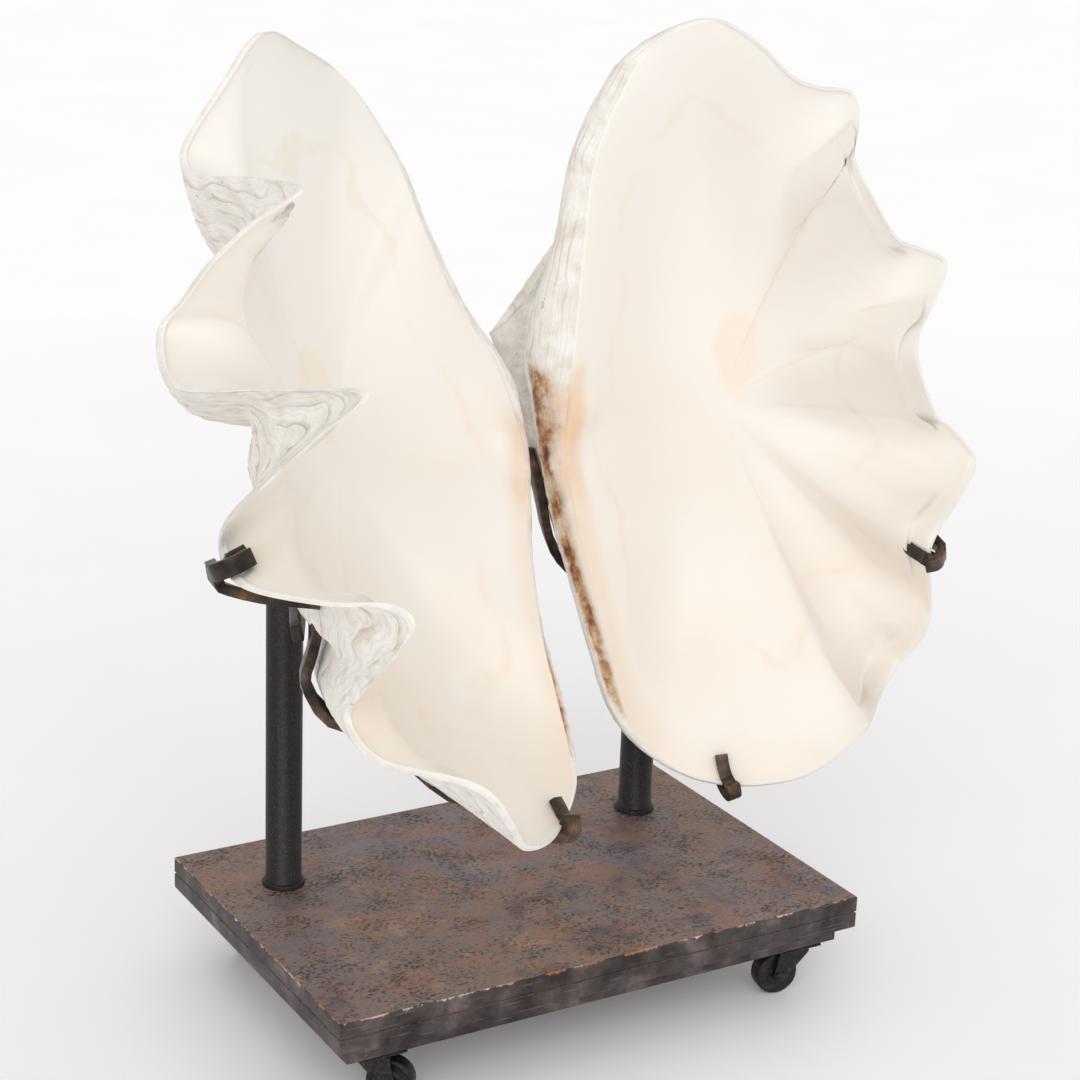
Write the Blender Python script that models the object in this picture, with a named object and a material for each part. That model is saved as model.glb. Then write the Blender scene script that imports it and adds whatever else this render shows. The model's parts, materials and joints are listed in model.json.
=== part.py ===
"""Giant clam shell: both valves held open like wings on a steel stand that rolls on four casters.

Metres, Z up, floor at Z = 0, X along the deck's long side, front at -Y.
"""
import bpy
import bmesh
import math
from mathutils import Matrix, Vector
from mathutils.bvhtree import BVHTree

# Where the deck's centre stands, so that the whole object is centred on X = 0 and Y = 0.
CENTRE_X = -0.0191
CENTRE_Y = 0.0974
GAP = 0.0003

# The deck: a thick top slab on a slightly smaller lower slab.
DECK_LONG = 0.510
DECK_DEEP = 0.340
TOP_SLAB = 0.030
LOWER_SLAB = 0.015
LOWER_INSET = 0.012
DECK_EDGE = 0.0012
DECK_TOP = 0.0945

# The posts: round steel bar, each carrying one valve.
POST_RADIUS = 0.016
LEFT_POST = (-0.189, 0.080)
RIGHT_POST = (0.179, 0.080)
LEFT_POST_HEIGHT = 0.338
RIGHT_POST_HEIGHT = 0.200
POST_SIDES = 24

# The casters: a plate under the deck, a fork that swivels and a wheel that spins.
CASTER_X = 0.208
CASTER_Y = 0.138
CASTER_PLATE = 0.040
CASTER_PLATE_THICK = 0.002
CASTER_TRAIL = 0.014
FORK_LEG = 0.0025
FORK_TOP = 0.0025
FORK_WIDE = 0.026
BEARING_RADIUS = 0.012
BEARING_TALL = 0.0015
WHEEL_RADIUS = 0.020
WHEEL_WIDE = 0.015
AXLE_RADIUS = 0.003
# Where each wheel trails, in degrees about Z from +X.
CASTER_HEADINGS = {
    "front_left": -38.0,
    "front_right": 170.0,
    "back_left": 5.0,
    "back_right": 62.0,
}

# The valves. Each is set out in its own flat frame in millimetres: up along the hinge line,
# reach from the hinge towards the free margin, and swing out of the flat towards the inside.
LIP = 6.0
HINGE_WALL = 36.0
BEAK = (40.0, -60.0, -58.0)
BULGE = 0.20
FRONT_HOLLOW = 60.0
BOWL_CENTRE = (-20.0, 150.0)
BOWL_DEPTH = 96.0
# How far the hinge's wall bulges past its middle: away from the bowl, and up towards the inside.
SHOULDER = (-14.0, 14.0)
THINNEST = 11.0
SPACING = 27.0

# Pose of each valve: the side it faces, its turn about Z, its lean back, its turn in its own flat
# (all in degrees), and where its hinge point stands from the deck's centre, in metres.
LEFT_POSE = (-1.0, 38.9, 28.0, 19.6, (-0.031, -0.013, 0.437))
RIGHT_POSE = (1.0, 27.0, 7.0, 0.0, (0.049, 0.034, 0.437))

# The free margin and the hinge line of each valve: up, reach, swing.
LEFT_MARGIN = (
    # from the beak up the front edge to the top corner
    (35, -5, 0), (93, 38, 0), (160, 60, 0), (219, 58, -8), (280, 100, -10), (287, 180, 0),
    (277, 247, 8),
    # first fold out and first fold in
    (245, 260, -30), (214, 260, -75), (182, 278, -58), (150, 302, 0), (108, 342, 60), (100, 344, 20),
    (89, 337, -28),
    # second fold out and second fold in
    (77, 325, -66), (64, 318, -98), (8, 355, -70), (-25, 362, 10), (-60, 382, 90), (-76, 384, 48),
    (-88, 376, 0),
    # third fold out and third fold in
    (-98, 353, -56), (-114, 338, -78), (-148, 362, -50), (-180, 366, 10), (-194, 354, 48),
    (-211, 352, 62), (-225, 340, 38), (-235, 304, -18),
    # fourth fold out, fourth fold in and the tail
    (-248, 288, -45), (-284, 300, -20), (-316, 298, 38), (-333, 284, 50), (-350, 255, 42),
    (-364, 200, 20), (-357, 135, 10), (-325, 82, 5),
    # back up the hinge line
    (-290, 58, 0), (-242, 54, 0), (-195, 52, 0), (-133, 35, 0), (-80, 11, 0), (-30, -10, 0),
)
RIGHT_MARGIN = (
    # from the beak up the front edge to the top corner
    (25, 11, 0), (72, 14, 0), (119, 17, 0), (178, 21, 0), (216, 30, 0), (250, 44, 0), (281, 61, 0),
    (305, 90, 6), (313, 122, 10), (294, 157, 14), (268, 188, 6),
    # first horn and the fold after it
    (260, 215, -15), (257, 246, -36), (235, 252, -22), (202, 240, 28), (171, 253, 46),
    (136, 283, 8), (125, 312, -28),
    # second horn and the fold after it
    (112, 341, -48), (82, 327, -20), (58, 302, 34), (32, 299, 50), (-15, 326, 8), (-34, 353, -34),
    # third horn and the fold after it
    (-64, 380, -56), (-90, 362, -26), (-112, 327, 38), (-136, 320, 42), (-168, 333, 0),
    # fourth horn, a faint fifth one and the tail
    (-204, 345, -42), (-222, 330, -14), (-233, 303, 26), (-265, 289, 20), (-304, 292, -30),
    (-319, 272, -14), (-333, 244, 6), (-344, 214, 12), (-349, 169, 12), (-343, 125, 5),
    (-320, 89, 0),
    # back up the hinge line
    (-285, 66, 0), (-231, 50, 0), (-168, 33, 0), (-115, 18, 0), (-53, 6, 0),
)

# The bars: square-edged steel bent along the outside of each valve, hooked over its margin.
BAR_WIDE = 13.0
BAR_THICK = 8.0
BAR_CLEAR = 1.2
BAR_STEPS = 3
# Each bar is led along the outside by the place along the margin table, how far out from the beak,
# and how far off the shell. A word stands for a hook over the margin or for the post's top.
LEFT_CRADLE = (
    ("hook", 22.3, 0.0), (22.8, 0.91, 4.0), (23.5, 0.89, 1.0), (24.3, 0.855, 0.0), (25.4, 0.80, 0.0),
    (27.0, 0.78, 0.0), (28.0, 0.81, 2.0), (29.0, 0.84, 3.0), (30.0, 0.83, 2.0), (31.2, 0.79, 0.0),
    (32.5, 0.79, 0.0), (34.0, 0.84, 0.0), (35.0, 0.88, 0.0), ("hook", 35.35, 0.0),
)
RIGHT_CRADLE = (
    ("hook", 27.0, 0.0), (27.1, 0.88, 0.0), (27.6, 0.80, 0.0), (28.8, 0.76, 0.0), (30.2, 0.72, 0.0),
    (32.0, 0.66, 0.0), (33.7, 0.61, 0.0), (35.3, 0.60, 0.0), (36.3, 0.68, 0.0),
    (36.8, 0.80, 0.0), (37.1, 0.89, 0.0), ("hook", 37.2, 0.0),
)
# A bar from a post's top first runs along it, at the heading given in degrees.
LEFT_REST = (
    ("post", -100.0, 0.0), (25.6, 0.42, 8.0), (26.5, 0.56, 3.0), (27.0, 0.68, 6.0),
    (27.3, 0.77, 15.0),
)
RIGHT_REST = (
    ("post", 150.0, 0.0), (38.0, 0.60, 6.0), (38.9, 0.58, 1.0), (40.5, 0.60, 0.0),
    (42.0, 0.66, 0.0), (43.0, 0.64, 0.0),
)

# How far out from the beak the rings of the outside lie, and of the inside from the bowl's centre.
OUTSIDE_RINGS = (0.10, 0.26, 0.43, 0.60, 0.74, 0.86, 0.94, 1.0)
INSIDE_RINGS = (0.95, 0.87, 0.76, 0.62, 0.44, 0.22)


def clear_scene():
    for thing in list(bpy.data.objects):
        bpy.data.objects.remove(thing, do_unlink=True)


def steel(name, colour, roughness, metallic):
    material = bpy.data.materials.new(name)
    material.use_nodes = True
    shader = material.node_tree.nodes["Principled BSDF"]
    shader.inputs["Base Color"].default_value = (*colour, 1.0)
    shader.inputs["Roughness"].default_value = roughness
    shader.inputs["Metallic"].default_value = metallic
    return material


def new_object(name, mesh, material):
    thing = bpy.data.objects.new(name, mesh)
    bpy.context.scene.collection.objects.link(thing)
    mesh.materials.append(material)
    return thing


def finish_mesh(name, bm):
    bmesh.ops.recalc_face_normals(bm, faces=bm.faces)
    mesh = bpy.data.meshes.new(name)
    bm.to_mesh(mesh)
    bm.free()
    return mesh


def smooth(mesh, degrees):
    mesh.shade_smooth()
    mesh.set_sharp_from_angle(angle=math.radians(degrees))


def step(low, high, value):
    t = min(max((value - low) / (high - low), 0.0), 1.0)
    return t * t * (3.0 - 2.0 * t)


def spline(before, start, end, after, t):
    # One span of a Catmull-Rom curve.
    return 0.5 * ((2.0 * start) + (end - before) * t
                  + (2.0 * before - 5.0 * start + 4.0 * end - after) * t * t
                  + (3.0 * start - before - 3.0 * end + after) * t * t * t)


def places_along(margin, spacing):
    # Places between the rows of the table, about evenly spaced along the margin.
    points = [Vector(p) for p in margin]
    count = len(points)
    places = []
    for i in range(count):
        steps = max(1, round((points[(i + 1) % count] - points[i]).length / spacing))
        places += [i + k / steps for k in range(steps)]
    return places


def edge_at(margin, place):
    # The margin at a place between the rows of its table.
    count = len(margin)
    i = math.floor(place)
    rows = [Vector(margin[(i + k) % count]) for k in (-1, 0, 1, 2)]
    return spline(*rows, place - i)


def soft_swing(margin, place):
    # The fold as it is away from the margin: the same wave with its sharp crests rounded off.
    weights = (1.0, 3.0, 6.0, 7.0, 6.0, 3.0, 1.0)
    total = sum(w * edge_at(margin, place + 0.7 * (k - 3)).z for k, w in enumerate(weights))
    return 0.9 * total / sum(weights)


def open_curve(points, steps):
    points = [Vector(p) for p in points]
    ends = [points[0] * 2.0 - points[1]] + points + [points[-1] * 2.0 - points[-2]]
    curve = []
    for i in range(1, len(points)):
        curve += [spline(*ends[i - 1:i + 3], k / steps) for k in range(steps)]
    return curve + [points[-1]]


def hinge_side(edge):
    # 1 along the hinge line, falling to 0 along the free margin.
    return 1.0 - step(20.0, 140.0, edge.y)


def outer_edge(edge):
    # The outside's rim: a thin lip along the margin, a thick overhanging wall at the hinge.
    hinge = hinge_side(edge)
    wall = LIP + HINGE_WALL * hinge
    overhang = hinge * (14.0 + 26.0 * math.exp(-((edge.x - 40.0) / 75.0) ** 2))
    away = Vector((edge.x - BOWL_CENTRE[0], edge.y - BOWL_CENTRE[1], 0.0)).normalized()
    lip = away * (0.4 * LIP * (1.0 - hinge))
    return Vector((edge.x + lip.x, edge.y + lip.y - overhang, edge.z - wall))


def outside_point(margin, place, g):
    # The outside grows from the beak to the rim, and its folds grow with it.
    edge = edge_at(margin, place)
    rim = outer_edge(edge)
    beak = Vector(BEAK)
    flat = Vector((rim.x - beak.x, rim.y - beak.y))
    wall = edge.z - rim.z
    # The front edge is hollow between the beak and the top corner.
    hollow = FRONT_HOLLOW * step(60.0, 220.0, edge.x) * (1.0 - step(30.0, 150.0, edge.y))
    across = beak.y + flat.y * g + hollow * g * (1.0 - g) ** 1.5 * 2.8
    bulge = BULGE * (1.0 - 0.7 * hinge_side(edge)) * flat.length
    depth = beak.z * (1.0 - g) - wall * g - 4.0 * bulge * g * (1.0 - g)
    # Folds that stand out run back to the beak as ribs; the furrows between them fade sooner.
    fold = fold_at(margin, place, edge, g, 0.45, 0.80) * g ** 1.25
    if fold > 0.0:
        fold *= step(0.50, 1.0, g)
    return Vector((beak.x + flat.x * g, across, depth + fold))


def fold_at(margin, place, edge, g, soft_until, sharp_from):
    soft = soft_swing(margin, place)
    return soft + (edge.z - soft) * step(soft_until, sharp_from, g)


def inside_point(margin, place, r):
    # The inside is a bowl with a flat shelf along the hinge; its folds fade inwards.
    edge = edge_at(margin, place)
    beak = Vector((BEAK[0], BEAK[1]))
    flat = Vector((edge.x, edge.y))
    centre = Vector(BOWL_CENTRE)
    hinge = hinge_side(edge)
    facing = max((beak - flat).normalized().dot((centre - flat).normalized()), 0.0)
    bend = flat + (beak - flat) * (0.15 * (1.0 - hinge) ** 3 * facing ** 4)
    spot = flat * r * r + bend * 2.0 * r * (1.0 - r) + centre * (1.0 - r) ** 2
    shelf = min(r / (1.0 - 0.2 * hinge), 1.0)
    bowl = -BOWL_DEPTH * (1.0 - shelf * shelf) ** 0.95
    ray = flat - beak
    g = max((spot - beak).dot(ray) / ray.length_squared, 0.0)
    fold = fold_at(margin, place, edge, g, 0.80, 1.0) * g * step(0.45, 0.95, g)
    return Vector((spot.x, spot.y, bowl + fold))


def valve_rings(margin):
    places = places_along(margin, SPACING)
    edges = [edge_at(margin, p) for p in places]
    rims = [outer_edge(e) for e in edges]
    rings = [[outside_point(margin, p, g) for p in places] for g in OUTSIDE_RINGS]
    middle = []
    for e, o in zip(edges, rims):
        bulge = Vector((0.0, *SHOULDER)) * hinge_side(e)
        middle.append((e + o) * 0.5 + bulge)
    rings.append(middle)
    rings.append(edges)
    thick_enough = outside_below(ring_tree(rings[:len(OUTSIDE_RINGS)]))
    rings += [[thick_enough(inside_point(margin, p, r), r) for p in places] for r in INSIDE_RINGS]
    return rings


def ring_tree(rings):
    # The surface through a stack of rings, for finding where a line meets it.
    flat = [p for ring in rings for p in ring]
    count = len(rings[0])
    faces = []
    for k in range(len(rings) - 1):
        for i in range(count):
            j = (i + 1) % count
            faces.append((k * count + i, (k + 1) * count + i, (k + 1) * count + j, k * count + j))
    return BVHTree.FromPolygons(flat, faces)


def outside_below(tree):
    # Keeps the inside clear of the outside beneath it.
    def raised(point, r):
        least = THINNEST if r < 0.9 else LIP
        around = (4.0 + 10.0 * (1.0 - step(0.45, 0.9, r))) if r < 0.9 else 0.0
        height = point.z
        for x, y in ((0, 0), (1, 0), (-1, 0), (0, 1), (0, -1), (2, 0), (-2, 0), (0, 2), (0, -2)):
            start = Vector((point.x + x * around, point.y + y * around, 400.0))
            hit = tree.ray_cast(start, Vector((0.0, 0.0, -1.0)))
            if hit[0] is not None:
                height = max(height, hit[0].z + least)
        return Vector((point.x, point.y, height))

    return raised


def valve_axes(pose):
    side, turn, lean, spin = pose[0], *[math.radians(v) for v in pose[1:4]]
    reach = Vector((side, 0.0, 0.0))
    up = Vector((0.0, 0.0, 1.0))
    inside = Vector((0.0, -1.0, 0.0))
    reach, up = (reach * math.cos(spin) + up * math.sin(spin),
                 up * math.cos(spin) - reach * math.sin(spin))
    placing = Matrix.Rotation(-side * turn, 3, "Z") @ Matrix.Rotation(-lean, 3, "X")
    return placing @ up, placing @ reach, placing @ inside


def valve_place(pose, point):
    up, reach, inside = valve_axes(pose)
    hinge = Vector(pose[4]) + Vector((CENTRE_X, CENTRE_Y, DECK_TOP))
    return hinge + (up * point.x + reach * point.y + inside * point.z) * 0.001


def make_valve(name, pose, margin, material):
    rings = valve_rings(margin)
    bm = bmesh.new()
    beak = bm.verts.new(valve_place(pose, Vector(BEAK)))
    bowl = bm.verts.new(valve_place(pose, Vector((*BOWL_CENTRE, -BOWL_DEPTH))))
    rows = [[bm.verts.new(valve_place(pose, p)) for p in ring] for ring in rings]
    count = len(rows[0])
    for i in range(count):
        j = (i + 1) % count
        bm.faces.new((beak, rows[0][i], rows[0][j]))
        for inner, outer in zip(rows, rows[1:]):
            bm.faces.new((inner[i], outer[i], outer[j], inner[j]))
        bm.faces.new((bowl, rows[-1][j], rows[-1][i]))
    bmesh.ops.triangulate(bm, faces=bm.faces, quad_method="FIXED")
    mesh = finish_mesh(name, bm)
    smooth(mesh, 50.0)
    return new_object(name, mesh, material)


def skin(margin, place, g):
    # A point on the outside and the way straight out of the shell there.
    point = outside_point(margin, place, g)
    along = outside_point(margin, place + 0.4, g) - outside_point(margin, place - 0.4, g)
    out = along.cross(point - outside_point(margin, place, g - 0.05)).normalized()
    return point, out


def hook(margin, place, shell):
    # From just over the lip to the outside, close to the shell.
    edge = edge_at(margin, place)
    middle = (edge + outer_edge(edge)) * 0.5
    away = (outside_point(margin, place, 1.0) - outside_point(margin, place, 0.93)).normalized()
    through = -skin(margin, place, 0.97)[1]
    through = (through - away * through.dot(away)).normalized()
    half = BAR_THICK / 2.0 + BAR_CLEAR

    def off_shell(back, side):
        # Straight off the shell's skin, some way back from its edge.
        start = middle - away * back + side * 22.0
        hit = shell.ray_cast(start, -side)
        return (hit[0] if hit[0] is not None else middle - away * back) + side * half

    return [
        (middle + through * (half + 2.0) + away * half * 0.4, (through + away).normalized()),
        (middle + away * (half + 1.5), away),
        (middle - through * half + away * half * 0.6, (away - through).normalized()),
        (off_shell(9.0, -through), -through),
    ]


def bar_path(pose, margin, post, height, leads):
    up, reach, inside = valve_axes(pose)
    shell = ring_tree(valve_rings(margin))

    def placed(point, out):
        return valve_place(pose, point), up * out.x + reach * out.y + inside * out.z

    path = []
    for n, (place, amount, extra) in enumerate(leads):
        if place == "hook":
            steps = [placed(*s) for s in hook(margin, amount, shell)]
            path += steps if n == 0 else steps[::-1]
        elif place == "post":
            top = DECK_TOP + height + GAP + BAR_THICK * 0.0005
            down = Vector((0.0, 0.0, -1.0))
            heading = math.radians(amount)
            ahead = Vector((math.cos(heading), math.sin(heading), 0.0)) * POST_RADIUS
            middle = Vector((CENTRE_X + post[0], CENTRE_Y + post[1], top))
            path += [(middle + ahead * far, down) for far in (-0.6, 1.1)]
            path.append((middle + ahead * 2.4 + Vector((0.0, 0.0, 0.002)), down))
        else:
            point, out = skin(margin, place, amount)
            path.append(placed(point + out * (BAR_THICK / 2.0 + BAR_CLEAR + extra), out))
    return path


def bar_section(points, outs, i, grow=0.0):
    # The four corners of the bar where its path has come to point i.
    ahead = (points[min(i + 1, len(points) - 1)] - points[max(i - 1, 0)]).normalized()
    across = ahead.cross(outs[i]).normalized()
    rise = across.cross(ahead).normalized()
    if rise.dot(outs[i]) < 0.0:
        rise = -rise
    across = across * (BAR_WIDE * 0.0005 + grow)
    rise = rise * (BAR_THICK * 0.0005 + grow)
    return [points[i] + c for c in (across + rise, across - rise, -across - rise, -across + rise)]


def bar_faces(count):
    faces = []
    for k in range(count - 1):
        for i in range(4):
            j = (i + 1) % 4
            faces.append((4 * k + i, 4 * k + 4 + i, 4 * k + 4 + j, 4 * k + j))
    return faces


def lift_off(points, outs, valve):
    # Lifts the bar, a little at a time, wherever it would cut into the shell.
    shell = BVHTree.FromPolygons([v.co for v in valve.data.vertices],
                                 [p.vertices for p in valve.data.polygons])
    count = len(points)
    lifts = [0.0] * count
    for _ in range(40):
        lifted = [p + out.normalized() * lift for p, out, lift in zip(points, outs, lifts)]
        corners = [c for i in range(count) for c in bar_section(lifted, outs, i, BAR_CLEAR * 0.0005)]
        hits = BVHTree.FromPolygons(corners, bar_faces(count)).overlap(shell)
        touched = {face // 4 for face, other in hits}
        if not touched:
            break
        for k in touched:
            lifts[k] += 0.0008
            lifts[k + 1] += 0.0008
        ends = [lifts[0]] + lifts + [lifts[-1]]
        lifts = [max(lifts[i], 0.49 * (ends[i] + ends[i + 2])) for i in range(count)]
    return lifted


def sweep_bar(name, path, valve, material):
    points = open_curve([p for p, out in path], BAR_STEPS)
    outs = open_curve([out for p, out in path], BAR_STEPS)
    points = lift_off(points, outs, valve)
    bm = bmesh.new()
    corners = [bm.verts.new(c) for i in range(len(points)) for c in bar_section(points, outs, i)]
    for face in bar_faces(len(points)):
        bm.faces.new([corners[k] for k in face])
    bm.faces.new(corners[:4][::-1])
    bm.faces.new(corners[-4:])
    bmesh.ops.triangulate(bm, faces=bm.faces)
    mesh = finish_mesh(name, bm)
    smooth(mesh, 35.0)
    return new_object(name, mesh, material)


def make_box(name, size, centre, material, edge=0.0):
    bm = bmesh.new()
    bmesh.ops.create_cube(bm, size=1.0)
    bmesh.ops.scale(bm, vec=Vector(size), verts=bm.verts)
    if edge:
        bmesh.ops.bevel(bm, geom=bm.edges[:], offset=edge, segments=1, affect="EDGES")
    thing = new_object(name, finish_mesh(name, bm), material)
    thing.location = centre
    return thing


def lathe(bm, profile, sides, axis="Z"):
    # Turns a closed outline of (radius, height) pairs about an axis.
    rows = []
    for k in range(sides):
        angle = 2.0 * math.pi * k / sides
        c, s = math.cos(angle), math.sin(angle)
        if axis == "Z":
            rows.append([bm.verts.new((r * c, r * s, h)) for r, h in profile])
        else:
            rows.append([bm.verts.new((r * c, h, r * s)) for r, h in profile])
    count = len(profile)
    for k in range(sides):
        one, two = rows[k], rows[(k + 1) % sides]
        for i in range(count):
            j = (i + 1) % count
            bm.faces.new((one[i], two[i], two[j], one[j]))


def make_post(name, place, height, material):
    # A solid round bar with a small weld bead round its foot.
    bm = bmesh.new()
    rings = []
    for radius, z in ((POST_RADIUS + 0.003, GAP), (POST_RADIUS + 0.003, GAP + 0.0015),
                      (POST_RADIUS, GAP + 0.004), (POST_RADIUS, height)):
        angles = [2.0 * math.pi * k / POST_SIDES for k in range(POST_SIDES)]
        rings.append([bm.verts.new((radius * math.cos(a), radius * math.sin(a), z)) for a in angles])
    for low, high in zip(rings, rings[1:]):
        for i in range(POST_SIDES):
            j = (i + 1) % POST_SIDES
            bm.faces.new((low[i], low[j], high[j], high[i]))
    bm.faces.new(rings[0][::-1])
    bm.faces.new(rings[-1])
    mesh = finish_mesh(name, bm)
    smooth(mesh, 40.0)
    post = new_object(name, mesh, material)
    post.location = (CENTRE_X + place[0], CENTRE_Y + place[1], DECK_TOP)
    return post


def make_deck(materials):
    make_box("deck_top_slab", (DECK_LONG, DECK_DEEP, TOP_SLAB),
             (CENTRE_X, CENTRE_Y, DECK_TOP - TOP_SLAB / 2.0), materials["deck"], DECK_EDGE)
    make_box("deck_lower_slab",
             (DECK_LONG - 2.0 * LOWER_INSET, DECK_DEEP - 2.0 * LOWER_INSET, LOWER_SLAB),
             (CENTRE_X, CENTRE_Y, DECK_TOP - TOP_SLAB - GAP - LOWER_SLAB / 2.0),
             materials["deck"], DECK_EDGE)


def make_wheel(name, material, parent):
    # A plain cast wheel with a slightly crowned tread and a bore for its axle.
    half = WHEEL_WIDE / 2.0
    bore = AXLE_RADIUS + GAP
    bm = bmesh.new()
    lathe(bm, ((bore, -half), (0.008, -half), (0.009, -half + 0.0015), (0.0150, -half + 0.0015),
               (0.0160, -half), (0.0188, -half), (WHEEL_RADIUS, -half + 0.002),
               (WHEEL_RADIUS, half - 0.002), (0.0188, half), (bore, half)), 24, "Y")
    mesh = finish_mesh(name, bm)
    smooth(mesh, 35.0)
    wheel = new_object(name, mesh, material)
    wheel.parent = parent
    wheel.location = (CASTER_TRAIL, 0.0, WHEEL_RADIUS)
    return wheel


def fork_leg(bm, side):
    # A tapering cheek from the crown down round the axle, in the wheel's own upright plane.
    inner = FORK_WIDE / 2.0 - FORK_LEG
    outer = FORK_WIDE / 2.0
    low, high = sorted((side * inner, side * outer))
    top = fork_top()
    axle = (CASTER_TRAIL, WHEEL_RADIUS)
    outline = [(-0.013, top), (-0.013, top - 0.004)]
    for k in range(9):
        angle = math.radians(200.0 + 20.0 * k)
        outline.append((axle[0] + 0.006 * math.cos(angle), axle[1] + 0.006 * math.sin(angle)))
    outline += [(0.015, top - 0.004), (0.015, top)]
    one = [bm.verts.new((x, low, z)) for x, z in outline]
    two = [bm.verts.new((x, high, z)) for x, z in outline]
    count = len(outline)
    for i in range(count):
        j = (i + 1) % count
        bm.faces.new((one[i], one[j], two[j], two[i]))
    bm.faces.new(one[::-1])
    bm.faces.new(two)


def fork_top():
    plate_under = DECK_TOP - TOP_SLAB - LOWER_SLAB - 2.0 * GAP - CASTER_PLATE_THICK
    return plate_under - BEARING_TALL - GAP


def union(thing, others):
    for k, other in enumerate(others):
        join = thing.modifiers.new("join_" + str(k), "BOOLEAN")
        join.operation = "UNION"
        join.solver = "EXACT"
        join.object = other
        other.hide_render = True
        other.display_type = "WIRE"
    bpy.context.view_layer.update()
    graph = bpy.context.evaluated_depsgraph_get()
    mesh = bpy.data.meshes.new_from_object(thing.evaluated_get(graph))
    thing.modifiers.clear()
    thing.data = mesh
    for other in others:
        bpy.data.objects.remove(other, do_unlink=True)


def make_fork(name, material, parent):
    top = fork_top()
    fork = make_box(name, (0.028, FORK_WIDE, FORK_TOP), (0.001, 0.0, top - FORK_TOP / 2.0),
                    material)
    legs = []
    for side, word in ((-1.0, "near"), (1.0, "far")):
        bm = bmesh.new()
        fork_leg(bm, side)
        legs.append(new_object(name + "_" + word, finish_mesh(name + word, bm), material))
    bm = bmesh.new()
    lathe_solid(bm, AXLE_RADIUS, -FORK_WIDE / 2.0 - 0.002, FORK_WIDE / 2.0 + 0.002, 16)
    pin = new_object(name + "_pin", finish_mesh(name + "pin", bm), material)
    pin.location = (CASTER_TRAIL, 0.0, WHEEL_RADIUS)
    union(fork, legs + [pin])
    smooth(fork.data, 35.0)
    fork.parent = parent
    return fork


def lathe_solid(bm, radius, low, high, sides):
    # A plain round bar along Y.
    ends = []
    for y in (low, high):
        ring = []
        for k in range(sides):
            angle = 2.0 * math.pi * k / sides
            ring.append(bm.verts.new((radius * math.cos(angle), y, radius * math.sin(angle))))
        ends.append(ring)
    for k in range(sides):
        j = (k + 1) % sides
        bm.faces.new((ends[0][k], ends[0][j], ends[1][j], ends[1][k]))
    bm.faces.new(ends[0][::-1])
    bm.faces.new(ends[1])


def make_caster(corner, sign_x, sign_y, materials):
    spot = (CENTRE_X + sign_x * CASTER_X, CENTRE_Y + sign_y * CASTER_Y)
    plate_top = DECK_TOP - TOP_SLAB - LOWER_SLAB - 2.0 * GAP
    plate_low = plate_top - CASTER_PLATE_THICK
    plate = make_box("caster_plate_" + corner, (CASTER_PLATE, CASTER_PLATE, CASTER_PLATE_THICK),
                     (spot[0], spot[1], (plate_top + plate_low) / 2.0), materials["caster"])
    bm = bmesh.new()
    bmesh.ops.create_cone(bm, cap_ends=True, segments=24, radius1=BEARING_RADIUS,
                          radius2=BEARING_RADIUS, depth=BEARING_TALL + 0.001)
    bearing = new_object("bearing", finish_mesh("bearing", bm), materials["caster"])
    bearing.location = (spot[0], spot[1], plate_low - BEARING_TALL / 2.0 + 0.0005)
    union(plate, [bearing])
    swivel = bpy.data.objects.new("swivel_" + corner, None)
    bpy.context.scene.collection.objects.link(swivel)
    swivel.location = (spot[0], spot[1], 0.0)
    swivel.rotation_euler = (0.0, 0.0, math.radians(CASTER_HEADINGS[corner]))
    make_fork("caster_fork_" + corner, materials["caster"], swivel)
    make_wheel("caster_wheel_" + corner, materials["wheel"], swivel)


def build():
    clear_scene()
    materials = {
        "shell": steel("clam shell", (0.86, 0.78, 0.66), 0.45, 0.0),
        "deck": steel("rusty deck steel", (0.16, 0.12, 0.11), 0.6, 0.6),
        "post": steel("dark round bar steel", (0.05, 0.045, 0.045), 0.45, 0.8),
        "bar": steel("brown bar steel", (0.12, 0.08, 0.05), 0.5, 0.8),
        "caster": steel("dark caster steel", (0.04, 0.04, 0.04), 0.5, 0.8),
        "wheel": steel("black cast wheel", (0.03, 0.03, 0.03), 0.6, 0.3),
    }
    left_valve = make_valve("left_valve", LEFT_POSE, LEFT_MARGIN, materials["shell"])
    right_valve = make_valve("right_valve", RIGHT_POSE, RIGHT_MARGIN, materials["shell"])
    make_deck(materials)
    make_post("left_post", LEFT_POST, LEFT_POST_HEIGHT, materials["post"])
    make_post("right_post", RIGHT_POST, RIGHT_POST_HEIGHT, materials["post"])
    left = (LEFT_POSE, LEFT_MARGIN, LEFT_POST, LEFT_POST_HEIGHT)
    right = (RIGHT_POSE, RIGHT_MARGIN, RIGHT_POST, RIGHT_POST_HEIGHT)
    bar = materials["bar"]
    sweep_bar("left_cradle_bar", bar_path(*left, LEFT_CRADLE), left_valve, bar)
    sweep_bar("left_rest_bar", bar_path(*left, LEFT_REST), left_valve, bar)
    sweep_bar("right_cradle_bar", bar_path(*right, RIGHT_CRADLE), right_valve, bar)
    sweep_bar("right_rest_bar", bar_path(*right, RIGHT_REST), right_valve, bar)
    make_caster("front_left", -1.0, -1.0, materials)
    make_caster("front_right", 1.0, -1.0, materials)
    make_caster("back_left", -1.0, 1.0, materials)
    make_caster("back_right", 1.0, 1.0, materials)


build()
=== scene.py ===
"""Giant clam shell on its rolling steel stand: the dressed model.

Metres, Z up, floor at Z = 0, front at -Y. The sections follow the object as it is put together.
"""
import bpy
import json
import math
import numpy as np
from mathutils import Matrix, Vector
from mathutils.bvhtree import BVHTree


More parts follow.
